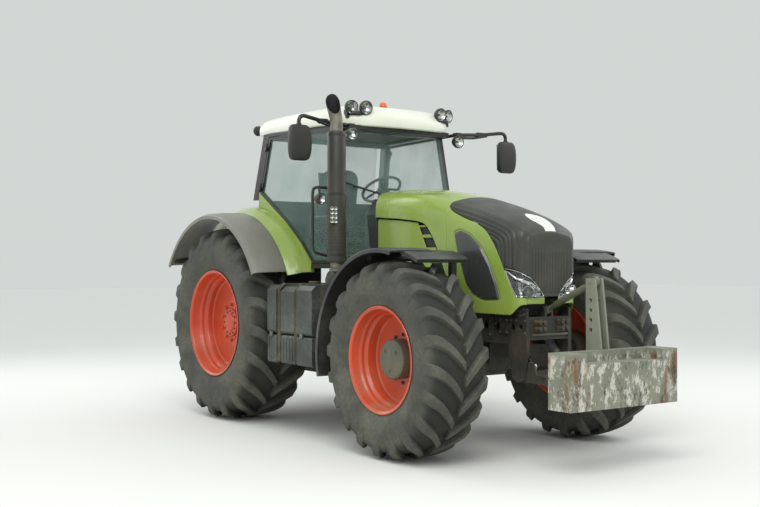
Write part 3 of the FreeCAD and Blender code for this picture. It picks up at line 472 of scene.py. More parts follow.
AMBER = finish("amber_lens", (0.85, 0.36, 0.06), 0.18, coat=0.6, dust=0.15, low=2.0, high=3.6,
               shade=(0.95, 0.48, 0.10))
RED_LENS = finish("red_lens", (0.70, 0.09, 0.06), 0.18, coat=0.6, dust=0.2, low=1.0, high=3.0,
                  shade=(0.60, 0.07, 0.05))
# The housing's colour mixes bright and dark patches: painted reflections on the chrome.
LAMP_CHROME = finish("lamp_housing", (0.80, 0.81, 0.80), 0.18, metal=0.85, dust=0.08, low=1.0, high=2.0,
                     shade=(0.46, 0.47, 0.46), shade_scale=4.0)
RUSTY = finish("heated_pipe", (0.50, 0.49, 0.43), 0.50, metal=0.4, dust=0.25, low=1.0, high=3.0, chips=0.3,
               shade=(0.33, 0.31, 0.26), shade_scale=9.0, chip_tone=(0.38, 0.27, 0.18), grain=150.0)
SOOT = finish("soot", (0.035, 0.035, 0.033), 0.85, dust=0.0, shade=(0.06, 0.058, 0.052))
FENDER = finish("fender_plastic", (0.11, 0.115, 0.11), 0.40, dust=0.50, low=0.5, shade=(0.17, 0.17, 0.155),
                grain=420.0, bump=0.0007, dust_tone=(0.50, 0.50, 0.45))
COVER = finish("tank_cover", (0.13, 0.14, 0.13), 0.40, dust=0.48, low=0.4, high=2.0, shade=(0.10, 0.11, 0.10),
               grain=420.0, bump=0.0008, dust_tone=(0.52, 0.54, 0.49))


def painted_shade_between_lugs():
    """Painted shade: darkens the tyre rubber where the foot mark rises toward one, between the lugs and at their
    feet, where shade falls.
    """
    tree = RUBBER.node_tree
    # painted shade: near-black rubber colour laid over the gaps between the lugs
    painted_over(RUBBER, calc(tree, "MULTIPLY", mark_of(tree, "foot"), 0.72), (0.085, 0.09, 0.08))


def hood_green():
    """The green paint with the side opening dark where the skin's distance mark is under zero."""
    material = finish("hood_green", LEAF, 0.28, coat=0.5, dust=0.26, low=0.9, high=2.1, shade=SHADED_LEAF,
                      chips=0.10, chip_tone=LEAF_CHIP, bump=0.0002)
    tree = material.node_tree
    painted_over(material, spread(tree, mark_of(tree, "opening"), -0.004, -0.001, 1.0, 0.0), (0.21, 0.22, 0.21))
    return material


def nose_top():
    """The dark moulding with a pale stripe of painted highlight, a grazing sheen flecked by fine noise, where the
    skin's stripe mark is under zero.
    """
    material = finish("nose_dark", (0.195, 0.205, 0.18), 0.42, dust=0.20, low=1.0, high=2.4,
                      shade=(0.16, 0.17, 0.15), bump=0.0005)
    tree = material.node_tree
    # painted highlight: near-white sheen on the top, broken into flecks by fine noise
    highlight_flecks = spread(tree, speckle(tree, 40.0, 6.0, 0.7), 0.34, 0.42)
    stripe = spread(tree, mark_of(tree, "stripe"), -0.001, 0.001, 1.0, 0.0)
    painted_over(material, calc(tree, "MULTIPLY", stripe, highlight_flecks), (0.86, 0.87, 0.83))
    return material


def ballast_finish():
    """Grey paint; on the block's upright faces white patches of wear, brown rust runs and dark stains, each one the
    high part of a noise that is stretched downward."""
    material = finish("ballast_paint", (0.52, 0.53, 0.465), 0.58, dust=0.22, high=1.2, shade=(0.45, 0.46, 0.40),
                      grain=140.0, bump=0.0015)
    tree = material.node_tree
    height = axes_of(tree, coordinates(tree))[2]
    lean = calc(tree, "ABSOLUTE", axes_of(tree, coordinates(tree, "Normal"))[2])
    upright = calc(tree, "MULTIPLY", spread(tree, lean, 0.5, 0.8, 1.0, 0.12),
                   spread(tree, height, 0.90, 0.96, 1.0, 0.0))
    for size, rough, stretch, low, high, colour in (
            (11.0, 0.80, (1, 1, 0.60), 0.505, 0.56, (0.80, 0.79, 0.74)),
            (3.6, 0.62, (1, 1, 0.22), 0.53, 0.63, (0.44, 0.31, 0.17)),
            (13.0, 0.82, (1, 1, 0.40), 0.535, 0.60, (0.22, 0.21, 0.18))):
        patch = spread(tree, speckle(tree, size, 8.0, rough, stretch), low, high)
        painted_over(material, calc(tree, "MULTIPLY", calc(tree, "MULTIPLY", patch, upright), 0.85), colour)
    return material


EXHAUST_X, EXHAUST_Y = 1.820, -0.915
HOLES_ROUND, HOLE_PITCH = 36, 0.0135


def guard_finish():
    """Black heat guard with staggered round holes where u = around / pitch and v = height / pitch are near
    whole numbers, moved half a step on every other row; the holes are dark dots, painted shade seen through them."""
    material = finish("heat_guard", (0.20, 0.20, 0.19), 0.50, metal=0.2, dust=0.22, low=1.4, high=3.2,
                      shade=(0.17, 0.17, 0.16), bump=0.0004)
    tree = material.node_tree
    x, y, z = axes_of(tree, coordinates(tree))
    across = calc(tree, "ARCTAN2", calc(tree, "SUBTRACT", y, EXHAUST_Y),
                  calc(tree, "SUBTRACT", x, EXHAUST_X - MIDDLE_X))
    v = calc(tree, "ADD", calc(tree, "MULTIPLY", z, 1 / HOLE_PITCH), 0.5)
    u = calc(tree, "ADD", calc(tree, "MULTIPLY", across, HOLES_ROUND / TURN),
             calc(tree, "MULTIPLY", calc(tree, "FLOOR", v), 0.5))
    du = calc(tree, "SUBTRACT", calc(tree, "FRACT", u), 0.5)
    dv = calc(tree, "MULTIPLY", calc(tree, "SUBTRACT", calc(tree, "FRACT", v), 0.5), 0.88)
    far = calc(tree, "SQRT", calc(tree, "ADD", calc(tree, "MULTIPLY", du, du), calc(tree, "MULTIPLY", dv, dv)))
    inside = calc(tree, "MULTIPLY", spread(tree, z, 1.75, 1.76), spread(tree, z, 2.84, 2.85, 1.0, 0.0))
    hole = calc(tree, "MULTIPLY", spread(tree, far, 0.27, 0.33, 1.0, 0.0), inside)
    # painted shade: dark dots for the shade seen through the holes
    painted_over(material, hole, (0.06, 0.06, 0.055))
    return material


painted_shade_between_lugs()
BALLAST = ballast_finish()
HOOD_GREEN = hood_green()
NOSE_TOP = nose_top()
GUARD = guard_finish()

# CAD nodes that stay in view take the finish of their slot, or their own
SLOT_FINISH = {
    "tyre_rubber": RUBBER, "rim_paint": RIM, "green_paint": GREEN, "roof_plastic": ROOF, "grey_plastic": GREY_SKIN,
    "grille_plastic": BLACK, "black_plastic": BLACK, "black_paint": BLACK_PAINT, "clear_glass": GLASS,
    "lamp_chrome": CHROME, "amber_lens": AMBER, "seat_fabric": FABRIC, "dark_casting": CAST, "linkage_paint": LINK,
    "rod_chrome": CHROME, "ballast_paint": BALLAST,
}
OWN_FINISH = {"front_top_link": TOP_LINK, "front_cylinders": CYLINDER}
PANES = ("windscreen", "rear_glass", "door_glass_left", "door_glass_right")
BALLAST_EDGE, NODE_EDGE = 0.018, 0.003
node_slots = {part["node"]: part["material_slot"] for part in frame["record"]["subparts"]}
for node_name, thing in frame["nodes"].items():
    thing.data.materials.clear()
    thing.data.materials.append(OWN_FINISH.get(node_name, SLOT_FINISH[node_slots[node_name]]))
    if node_name not in PANES:
        thing.modifiers.new("join", "WELD").merge_threshold = 0.0001
        round_edges(thing, BALLAST_EDGE if node_name == "ballast_block" else NODE_EDGE, 40)


# ---------------------------------------------------------------- camera, floor and light
FOCAL_PIXELS, PHOTO_PIXELS = 1095.6, 760
EYE = (8.831, -6.603, 1.655)
EYE_TURN = (90.487, 0, 54.584)
SKY_LIGHT, SKY_STRENGTH = (0.86, 0.90, 0.94, 1), 0.95
BACKDROP = (0.645, 0.675, 0.66, 1)
FLOOR_HALF = 60
# Name, place, aimed at, size and power of each lamp
LIGHTS = (("key", (6.0, -5.0, 8.5), (0, 0, 1.4), 6.0, 520), ("fill", (2.0, 8.0, 6.0), (0, 0, 1.2), 6.0, 170),
          ("back", (-8.0, -3.0, 6.0), (0, 0, 1.4), 5.0, 170))


def place_camera():
    """The photograph's camera: fitted place, turn and lens."""
    lens = bpy.data.cameras.new("view")
    lens.sensor_width = 36
    lens.lens = FOCAL_PIXELS / PHOTO_PIXELS * 36
    eye = bpy.data.objects.new("view", lens)
    eye.location = EYE
    eye.rotation_euler = [math.radians(angle) for angle in EYE_TURN]
    bpy.context.collection.objects.link(eye)
    bpy.context.scene.camera = eye


def lay_floor():
    material, _, skin = new_material("pale_floor")
    skin["Base Color"].default_value = tone(0.90, 0.90, 0.87)
    skin["Roughness"].default_value = 0.9
    mesh = bpy.data.meshes.new("floor")
    mesh.from_pydata([(x * FLOOR_HALF, y * FLOOR_HALF, 0) for x, y in ((-1, -1), (1, -1), (1, 1), (-1, 1))], [],
                     [(0, 1, 2, 3)])
    mesh.materials.append(material)
    floor = bpy.data.objects.new("floor", mesh)
    bpy.context.collection.objects.link(floor)


def light_the_stage():
    """A pale sky lights the object; the camera sees a plain backdrop instead, also through glass."""
    world = bpy.data.worlds.new("sky")
    bpy.context.scene.world = world
    world.use_nodes = True
    tree = world.node_tree
    tree.nodes.clear()
    sky, plain = (tree.nodes.new("ShaderNodeBackground") for _ in range(2))
    feed(tree, sky.inputs, (SKY_LIGHT, SKY_STRENGTH))
    feed(tree, plain.inputs, (BACKDROP, 1.0))
    path = tree.nodes.new("ShaderNodeLightPath").outputs
    seen = calc(tree, "MAXIMUM", path["Is Camera Ray"], path["Is Transmission Ray"])
    either = tree.nodes.new("ShaderNodeMixShader")
    feed(tree, either.inputs, (seen, sky.outputs[0], plain.outputs[0]))
    tree.links.new(either.outputs[0], tree.nodes.new("ShaderNodeOutputWorld").inputs[0])
    for name, place, aim, size, power in LIGHTS:
        lamp = bpy.data.lights.new(name, "AREA")
        lamp.size = size
        lamp.energy = power
        thing = bpy.data.objects.new(name, lamp)
        thing.location = place
        way = np.array(aim) - np.array(place)
        thing.rotation_euler = (math.acos(-way[2] / np.linalg.norm(way)), 0,
                                math.atan2(way[1], way[0]) + 1.5 * math.pi)
        bpy.context.collection.objects.link(thing)


place_camera()
lay_floor()
light_the_stage()


# ---------------------------------------------------------------- wheels
# Half tyre sections from bead to crown: y from the tyre's middle and radius
REAR_CARCASS = (
    (0.296, 0.538), (0.298, 0.560), (0.312, 0.580), (0.312, 0.592), (0.326, 0.622), (0.343, 0.680), (0.350, 0.735),
    (0.351, 0.780), (0.346, 0.822), (0.336, 0.862), (0.322, 0.895), (0.300, 0.922), (0.262, 0.940), (0.200, 0.953),
    (0.110, 0.960), (0.0, 0.962))
FRONT_CARCASS = (
    (0.242, 0.434), (0.244, 0.452), (0.256, 0.470), (0.256, 0.480), (0.270, 0.508), (0.287, 0.555), (0.295, 0.600),
    (0.296, 0.640), (0.292, 0.675), (0.284, 0.708), (0.272, 0.735), (0.252, 0.757), (0.218, 0.773), (0.160, 0.785),
    (0.085, 0.791), (0.0, 0.793))
# Stations along a lug from the tyre's middle outward: y, radius of its foot and radius of its top
REAR_LUG = (
    (0.006, 0.945, 1.013), (0.014, 0.940, 1.015), (0.05, 0.940, 1.015), (0.11, 0.940, 1.014), (0.18, 0.935, 1.008),
    (0.24, 0.925, 0.999), (0.288, 0.905, 0.986), (0.318, 0.880, 0.958), (0.334, 0.850, 0.925),
    (0.343, 0.825, 0.893), (0.349, 0.800, 0.862), (0.351, 0.782, 0.826), (0.344, 0.772, 0.790))
FRONT_LUG = (
    (0.006, 0.776, 0.838), (0.014, 0.772, 0.840), (0.04, 0.772, 0.840), (0.09, 0.772, 0.8395), (0.15, 0.768, 0.834),
    (0.20, 0.758, 0.826), (0.243, 0.742, 0.814), (0.270, 0.720, 0.790), (0.284, 0.700, 0.762),
    (0.291, 0.680, 0.733), (0.295, 0.660, 0.705), (0.296, 0.644, 0.676), (0.289, 0.632, 0.645))
LUGS = 20
LUG_CURVE, LUG_START = 1.6, 0.012
LUG_FOOT, LUG_CREST = 0.74, 0.46
# Rim and hub sections: way outward along the axle and radius
REAR_RIM = (
    (0.300, 0.552), (0.312, 0.560), (0.317, 0.556), (0.317, 0.548), (0.306, 0.532), (0.290, 0.526), (0.222, 0.523),
    (0.212, 0.517), (0.200, 0.507), (0.190, 0.504), (0.168, 0.503), (0.158, 0.496), (0.140, 0.478), (0.128, 0.474),
    (0.086, 0.470), (0.076, 0.455), (0.070, 0.330), (0.074, 0.300), (0.088, 0.200), (0.090, 0.120), (0.090, 0.02),
    (0.060, 0.02), (0.060, 0.170), (0.050, 0.300), (0.058, 0.458), (-0.150, 0.482), (-0.200, 0.506),
    (-0.290, 0.518), (-0.317, 0.548), (-0.317, 0.556), (-0.300, 0.552), (-0.300, 0.536), (0.300, 0.536))
FRONT_RIM = (
    (0.245, 0.448), (0.256, 0.457), (0.261, 0.453), (0.261, 0.445), (0.251, 0.428), (0.238, 0.423), (0.180, 0.421),
    (0.170, 0.415), (0.160, 0.408), (0.150, 0.406), (0.128, 0.406), (0.118, 0.400), (0.102, 0.386), (0.090, 0.384),
    (0.022, 0.380), (0.010, 0.368), (0.002, 0.300), (0.006, 0.200), (0.008, 0.171), (-0.016, 0.171),
    (-0.016, 0.300), (-0.008, 0.366), (-0.090, 0.392), (-0.150, 0.404), (-0.235, 0.414), (-0.260, 0.445),
    (-0.260, 0.453), (-0.245, 0.448), (-0.245, 0.432), (0.245, 0.432))
REAR_HUB = ((-0.18, 0), (-0.18, 0.150), (0.016, 0.150), (0.022, 0.144), (0.022, 0.098), (0.032, 0.092), (0.034, 0))
FRONT_DRUM = ((-0.121, 0), (-0.121, 0.150), (-0.014, 0.171), (0.110, 0.171), (0.126, 0.168), (0.136, 0.158),
              (0.139, 0.150), (0.139, 0))
DRUM_SEAM = ((0.060, 0.165), (0.060, 0.1745), (0.070, 0.1745), (0.070, 0.165))
DISC_OUT = 0.09
PLUG_RING = 0.098


def carcass(profile, centre):
    """The smooth casing: a tyre section turned once round, both walls and the crown in one closed loop."""
    half = np.array(profile)
    bead_y, bead_r = half[0] - (0.03, 0.004)
    return turned([*half, *(half[-2::-1] * (-1, 1)), (-bead_y, bead_r), (bead_y, bead_r)], centre, LEFT, 120, True)


def lugs(rows, centre, sweep, width, side, phase):
    """All the lugs on one half of a tread. Along a lug, y and its foot and top radius follow the table. Its
    angle is phase + sweep * ((1 - u0) ^ 1.6 - (1 - u) ^ 1.6) / radius, where u is y / wall; the flanks lean
    out, since the foot is broader than the crest."""
    y, foot, top = np.array(rows).T
    u = y / y.max()
    radius = top.max()
    lead = sweep * ((1 - LUG_START / y.max()) ** LUG_CURVE - (1 - u) ** LUG_CURVE) / radius
    broad = width * (0.92 + 0.32 * u) / radius
    middle = (np.arange(LUGS) / LUGS * TURN + phase)[:, None] + lead
    corners = []
    for radial, share in ((foot, -LUG_FOOT), (top, -LUG_CREST), (top, LUG_CREST), (foot, LUG_FOOT)):
        a = middle + broad * share
        corners.append(np.stack([centre[0] + radial * np.cos(a), centre[1] + side * y + 0 * a,
                                 centre[2] + radial * np.sin(a)], -1))
    points = np.stack(corners, 2)
    index = np.arange(LUGS * len(rows) * 4).reshape(LUGS, len(rows), 4)
    around = np.concatenate([index, index[:, :, :1]], axis=2)
    quads = np.stack([around[:, :-1, :-1], around[:, 1:, :-1], around[:, 1:, 1:], around[:, :-1, 1:]], -1)
    ends = np.concatenate([index[:, 0], index[:, -1, ::-1]])
    return points.reshape(-1, 3), quads.reshape(-1, 4).tolist() + ends.tolist()


def build_tyres():
    """Casing and lugs. The foot mark rises with the radius on the casing and is kept only at the lugs' feet; it masks
    the painted shade between the lugs.
    """
    for name, side in SIDES:
        for axle, centre, shell, rows, sweep, width in (
                ("rear", (0, side * REAR_TRACK, AXLE_Z), REAR_CARCASS, REAR_LUG, 0.30, 0.085),
                ("front", (WHEELBASE, side * FRONT_TRACK, FRONT_Z), FRONT_CARCASS, FRONT_LUG, 0.25, 0.078)):
            parts = [carcass(shell, centre), lugs(rows, centre, sweep, width, side, 0),
                     lugs(rows, centre, sweep, width, -side, math.pi / LUGS)]
            crown = rows[0][2]
            foot = [soft(np.hypot(v[:, 0] - centre[0], v[:, 2] - centre[2]), crown * 0.84, crown * 0.92)
                    for v, _ in parts]
            for k in (1, 2):
                foot[k] = foot[k] * np.tile((1, 0, 0, 1), len(foot[k]) // 4)
            piece(f"lugged_tyre_{axle}_{name}", [(RUBBER, *parts)], f"wheel_{axle}_{name}", f"tyre_{axle}_{name}",
                  bevel=0.006, angle=32, marks={"foot": np.concatenate(foot)})


def build_rims():
    """Rims turned from their sections, with hub, studs and small bolt heads on the rear, and with a drum that
    has a seam and plugs on the front."""
    for name, side in SIDES:
        out = np.array((0, side, 0))

        def rim(rows, centre):
            return turned(np.array(rows) * (side, 1), centre, LEFT, 96, True)

        middle = np.array((0, side * REAR_TRACK, AXLE_Z))
        face = (0, side * (REAR_TRACK + DISC_OUT), AXLE_Z)
        piece(f"dished_rim_rear_{name}",
              [(RIM, rim(REAR_RIM, middle), turned(REAR_HUB, face, out), *bolts(face, out, 0.190, 10, 0.015, 0.026)),
               (RUSTY_RIM, *bolts(face + out * 0.022, out, 0.122, 12, 0.008, 0.012))],
              f"wheel_rear_{name}", f"rim_rear_{name}", angle=30)
        face = np.array((WHEELBASE, side * FRONT_TRACK, FRONT_Z))
        plugs = [rod(face + np.array((PLUG_RING * math.cos(a), side * 0.132, PLUG_RING * math.sin(a))),
                     face + np.array((PLUG_RING * math.cos(a), side * 0.1405, PLUG_RING * math.sin(a))), 0.017, 16)
                 for a in np.radians((40, 140, 265))]
        piece(f"dished_rim_front_{name}",
              [(RIM, rim(FRONT_RIM, face)),
               (HUB, turned(FRONT_DRUM, face, out, 64), turned(DRUM_SEAM, face, out, 64, True)), (BLACK, *plugs),
               (METAL, *bolts(face + out * 0.007, out, 0.205, 12, 0.013, 0.022))],
              f"wheel_front_{name}", f"rim_front_{name}", angle=30)


build_tyres()
build_rims()


# ---------------------------------------------------------------- hood
# Columns: share of the length, side half width, corner start height, crown half width, crown start, top
HOOD = np.array([
    (0, 0.435, 2.160, 0.330, 2.335, 2.372), (0.312, 0.430, 2.110, 0.325, 2.300, 2.340),
    (0.593, 0.415, 2.000, 0.305, 2.190, 2.232), (0.798, 0.385, 1.880, 0.275, 2.080, 2.122),
    (0.926, 0.350, 1.790, 0.262, 1.985, 2.018), (0.985, 0.305, 1.840, 0.252, 1.925, 1.957),
    (1.0, 0.262, 1.820, 0.212, 1.893, 1.922)])
HOOD_BACK = 1.790
HOOD_LENGTH = 1.955
HOOD_FOOT = 1.15
NOSE_X = HOOD_BACK + HOOD_LENGTH
# Side lines: share of the length and height
EDGE_LINE = np.array([
    (-0.005, 2.098), (0.184, 2.073), (0.335, 2.043), (0.396, 2.015), (0.428, 1.952), (0.454, 1.888), (0.492, 1.765),
    (0.525, 1.630), (0.568, 1.450), (0.610, 1.330), (0.670, 1.255), (0.721, 1.220), (0.955, 1.214), (0.975, 1.300),
    (1.03, 1.306)])
DARK_LINE = np.array([
    (0.54, 2.185), (0.556, 2.160), (0.572, 2.130), (0.610, 2.095), (0.665, 2.053), (0.740, 2.006), (0.800, 1.946),
    (0.838, 1.862), (0.870, 1.763), (0.908, 1.608), (0.940, 1.450), (0.951, 1.366), (1.1, 1.366)])
VENT = np.array([
    (0.608, 1.924), (0.650, 1.938), (0.705, 1.900), (0.775, 1.789), (0.830, 1.631), (0.866, 1.476), (0.884, 1.344),
    (0.791, 1.336), (0.729, 1.384), (0.686, 1.470), (0.631, 1.742)])
LAMP_SIDE = np.array([(0.912, 1.590), (0.925, 1.530), (0.945, 1.440), (0.968, 1.360), (1.1, 1.360)])
# Top of the lamps across the front: half width and height
LAMP_LINE = np.array([(0.06, 1.350), (0.082, 1.366), (0.105, 1.408), (0.200, 1.506), (0.420, 1.650), (0.440, 1.610)])
LAMP_BACK = 0.912
LAMP_LOW = 1.366
DARK_START = 0.552
FOLD_PITCH, FOLD_HEIGHT = 0.066, 0.007
RIB_PITCH, RIB_HEIGHT = 0.0335, 0.006
STRIPE_OUTLINE = [
    (3.462, -0.040), (3.556, -0.073), (3.654, -0.060), (3.715, -0.045), (3.752, -0.053), (3.790, -0.055),
    (3.790, 0.065), (3.752, 0.065), (3.695, 0.089), (3.594, 0.135), (3.500, 0.130), (3.463, 0.038)]
STRIPE_LOW = 1.918


def rounded_path(line, share):
    """Height of a side line at a share of the length: straight runs, softened by a short running mean."""
    return np.mean([np.interp(share + d, line[:, 0], line[:, 1]) for d in np.linspace(-0.018, 0.018, 9)], axis=0)


def curve_through(x, known_x, known_y):
    """Smooth curve through known points that doesn't overshoot: cubic pieces with limited slopes."""
    h = np.diff(known_x)
    d = np.diff(known_y) / h
    between = np.where(d[1:] * d[:-1] > 0, 2 * d[1:] * d[:-1] / (d[1:] + d[:-1] + 1e-12), 0)
    m = np.concatenate([[d[0]], between, [d[-1]]])
    i = np.clip(np.searchsorted(known_x, x) - 1, 0, len(h) - 1)
    t = (x - known_x[i]) / h[i]
    return (known_y[i] * (1 + 2 * t) * (1 - t) ** 2 + h[i] * m[i] * t * (1 - t) ** 2
            + known_y[i + 1] * t ** 2 * (3 - 2 * t) + h[i] * m[i + 1] * t ** 2 * (t - 1))


def hood_column(share, k):
    """One column of the hood's table at each share of the length."""
    return curve_through(share, HOOD[:, 0], HOOD[:, k])


def hood_sections(share):
    """Left half of each section from low to crown as y and z[row, column]: a straight side, a quadratic corner
    and a parabola over the crown."""
    w, zc, wt, ze, zt = (hood_column(share, k)[:, None] for k in range(1, 6))
    side_z = np.linspace(0, 1, 24)[None, :]
    line_y, line_z = w + 0 * side_z, HOOD_FOOT + (zc - HOOD_FOOT) * side_z
    q = np.linspace(0, 1, 25)[None, 1:]
    cy, cz = wt + (w - wt) * 0.94, zc + (ze - zc) * 0.94
    corner_y = (1 - q) ** 2 * w + 2 * q * (1 - q) * cy + q ** 2 * wt
    corner_z = (1 - q) ** 2 * zc + 2 * q * (1 - q) * cz + q ** 2 * ze
    crown_y = wt * (1 - q)
    crown_z = zt - (zt - ze) * (crown_y / wt) ** 2
    return np.hstack([line_y, corner_y, crown_y]), np.hstack([line_z, corner_z, crown_z])


def hood_grid(share, low, high, columns, whole=False):
    """Points[row, column, 3] over the hood from height low to height high on the left side; whole goes on
    over the crown and down the other side to low again. Columns are spaced by length along each section."""
    y, z = hood_sections(share)
    step = np.hypot(np.diff(y, axis=1), np.diff(z, axis=1))
    length = np.hstack([np.zeros((len(share), 1)), np.cumsum(step, axis=1)])
    rows = []
    for i in range(len(share)):
        start = np.interp(low[i], z[i], length[i])
        stop = length[i, -1] if high is None else np.interp(high[i], z[i], length[i])
        at = start + (stop - start) * np.linspace(0, 1, columns)
        rows.append(np.stack([np.interp(at, length[i], y[i]), np.interp(at, length[i], z[i])], -1))
    half = np.array(rows)
    x = HOOD_BACK + HOOD_LENGTH * share
    points = np.concatenate([np.broadcast_to(x[:, None, None], half.shape[:2] + (1,)), half], -1)
    return np.concatenate([points, points[:, -2::-1] * MIRROR], axis=1) if whole else points


def inward(points):
    """Unit normals of a hood grid, from its two directions of change: they point into the hood."""
    normal = np.cross(np.gradient(points, axis=0), np.gradient(points, axis=1))
    return normal / np.maximum(np.linalg.norm(normal, axis=2, keepdims=True), 1e-9)


def far_from(polygon, px, pz):
    """Signed distance of points to a closed polygon, less than zero inside."""
    best = np.full(px.shape, 1e9)
    inside = np.zeros(px.shape, bool)
    for (ax, az), (bx, bz) in zip(polygon, np.roll(polygon, -1, axis=0)):
        dx, dz = bx - ax, bz - az
        t = np.clip(((px - ax) * dx + (pz - az) * dz) / (dx * dx + dz * dz), 0, 1)
        best = np.minimum(best, np.hypot(px - ax - t * dx, pz - az - t * dz))
        crosses = (az > pz) != (bz > pz)
        inside ^= crosses & (px < ax + (pz - az) / (dz if abs(dz) > 1e-12 else 1e-12) * dx)
    return np.where(inside, -best, best)


def smooth_ring(polygon, times, pieces=1):
    """A polygon with its corners cut again and again, each time at a quarter of every side, or of every one
    of the pieces that a side is divided into."""
    ring = np.array(polygon, float)
    steps = np.linspace(0, 1, pieces, endpoint=False)[None, :, None]
    ring = (ring[:, None] * (1 - steps) + np.roll(ring, -1, axis=0)[:, None] * steps).reshape(-1, 2)
    for _ in range(times):
        ahead = np.roll(ring, -1, axis=0)
        ring = np.stack([0.75 * ring + 0.25 * ahead, 0.25 * ring + 0.75 * ahead], 1).reshape(-1, 2)
    return ring


def nose_x(q):
    """How far forward the hood's front lies at a share q of the way in from its border, its edge rounded."""
    return NOSE_X + 0.016 * np.sqrt(1 - (1 - np.minimum(q / 0.12, 1)) ** 2)


def nose_cap(low, high, rows, columns, reach):
    """A part of the hood's front: the last section slides toward the middle, y = y0 * (1 - q), between the
    heights low(y) and high(y), and lies at nose_x(q)."""
    q = np.linspace(0, reach, rows)
    y, z = (line[0] for line in hood_sections(np.ones(1)))
    points = np.empty((rows, columns, 3))
    for i, part in enumerate(q):
        zz = np.linspace(low(y[0] * (1 - part)), high(y[0] * (1 - part)), columns)
        points[i, :, 1] = np.interp(zz, z, y * (1 - part))
        points[i, :, 2] = zz
    points[:, :, 0] = nose_x(q)[:, None]
    return points


GREEN_VENT = smooth_ring(VENT * [HOOD_LENGTH, 1] + [HOOD_BACK, 0], 2, 3)
STRIPE = smooth_ring(STRIPE_OUTLINE, 2)


def lamp_line(y):
    return np.interp(abs(y), LAMP_LINE[:, 0], LAMP_LINE[:, 1])


def both_hands(surface):
    """A surface over the left side and its mirror image."""
    return [grid(surface), grid((surface * MIRROR)[:, ::-1])]


def build_green_hood():
    """The whole arch behind DARK_START, with a step along each shoulder and a cross seam; the two sides below
    the dark line, where the skin stands 12 mm out inside the opening, after a groove round it; and the lip and
    the chin under the lamps. Each is inward * depth, with humps and soft steps for the depth."""
    share = np.linspace(0, DARK_START, 120)
    top = hood_grid(share, rounded_path(EDGE_LINE, share), None, 100, whole=True)
    shoulder = 0.005 * hump(np.abs(top[:, :, 1]) - 0.20, 0.004, 0.016) * soft(share, 0.04, 0.1)[:, None]
    seam = -0.004 * hump(top[:, :, 0] - 1.99, 0.002, 0.008)
    top = top + inward(top) * (shoulder + seam)[:, :, None]
    share = np.linspace(DARK_START, LAMP_BACK, 150)
    high = rounded_path(DARK_LINE, share) - 0.004
    side = hood_grid(share, rounded_path(EDGE_LINE, share), high, 110)
    gap = far_from(GREEN_VENT, side[:, :, 0], side[:, :, 2])
    push = 0.007 * hump(gap - 0.006, 0.004, 0.016) - 0.012 * (1 - soft(gap, -0.014, -0.001))
    push *= soft(high[:, None] - side[:, :, 2], 0.0, 0.012)
    side = side + inward(side) * push[:, :, None]
    share = np.linspace(LAMP_BACK, 1, 40)
    lip = hood_grid(share, rounded_path(EDGE_LINE, share), np.interp(share, *LAMP_SIDE.T), 24)
    chin = nose_cap(lambda y: 1.308, lambda y: LAMP_LOW - 0.006, 20, 6, 0.69)
    opening = [np.ones(top[:, :, 0].size), gap.ravel(), gap[:, ::-1].ravel(),
               np.ones(2 * lip[:, :, 0].size + 2 * chin[:, :, 0].size)]
    piece("green_hood", [(HOOD_GREEN, grid(top), *both_hands(side), *both_hands(lip), *both_hands(chin))], "hood",
          "hood_shell", thick=0.006, closed=False, angle=30,
          marks={"opening": np.concatenate(opening)})


def build_nose():
    """Over the crown from side to side with folds at equal depths from its border, and the front, whose rows
    slide from the border to the foot and stand out by cosine ribs: height * cos(2 pi y / pitch)."""
    share = np.concatenate([np.linspace(DARK_START + 0.002, 0.92, 120), np.linspace(0.923, 1, 44)])
    low = rounded_path(DARK_LINE, share) + 0.002
    low = np.where(share > LAMP_BACK, np.maximum(low, lamp_line(hood_column(share, 1)) + 0.004), low)
    dark = hood_grid(share, low, None, 110, whole=True)
    below = hood_column(share, 4)[:, None] - 0.02 - dark[:, :, 2]
    behind = (NOSE_X - 0.05 - dark[:, :, 0]) * 0.9
    depth = -0.03 * np.logaddexp(-below / 0.03, -behind / 0.03)
    fold = np.abs((depth / FOLD_PITCH) % 1 - 0.72) - 0.28
    fold = -FOLD_HEIGHT * soft(-np.abs(fold) + 0.28, 0, 0.28) * soft(depth, 0.0, 0.02)
    dark = dark + inward(dark) * (fold * soft(dark[:, :, 2] - low[:, None], 0.004, 0.02))[:, :, None]

    border = dark[-1]
    t = np.linspace(0, 1, 70)[:, None]
    s = np.linspace(-1, 1, border.shape[0])[None, :]
    y = border[None, :, 1] * (1 - t) - s * 0.080 * t
    z = border[None, :, 2] * (1 - t) + (LAMP_LOW + 0.002) * t
    z = z + np.maximum(lamp_line(y[:, :1]) + 0.004 - z[:, :1], 0) * np.abs(s) ** 6
    ribs = np.cos(y * TURN / RIB_PITCH) * (1 - soft(z, 1.735, 1.765)) * soft(z, 1.385, 1.41)
    ribs *= soft(0.225 - np.abs(y), 0, 0.02) * soft(t, 0.05, 0.14)
    cap = np.stack([nose_x(t) + RIB_HEIGHT * ribs, y, z], -1)
    stripe = [far_from(STRIPE, part[:, :, 0], part[:, :, 1] + 10.0 * (part[:, :, 2] < STRIPE_LOW)).ravel()
              for part in (dark, cap)]
    piece("dark_nose", [(NOSE_TOP, grid(dark), grid(cap))], "hood", "hood_grilles", thick=0.006, closed=False,
          angle=50, marks={"stripe": np.concatenate(stripe)})


# Place on the left, direction and radius of each headlamp
HEADLAMPS = (((3.768, 0.182, 1.408), (0.97, 0.22, 0.03), 0.040), ((3.764, 0.264, 1.414), (0.84, 0.54, 0.03), 0.044))
BULB = ((-0.032, 0), (-0.030, 0.010), (-0.012, 0.011), (-0.006, 0.006), (-0.005, 0))


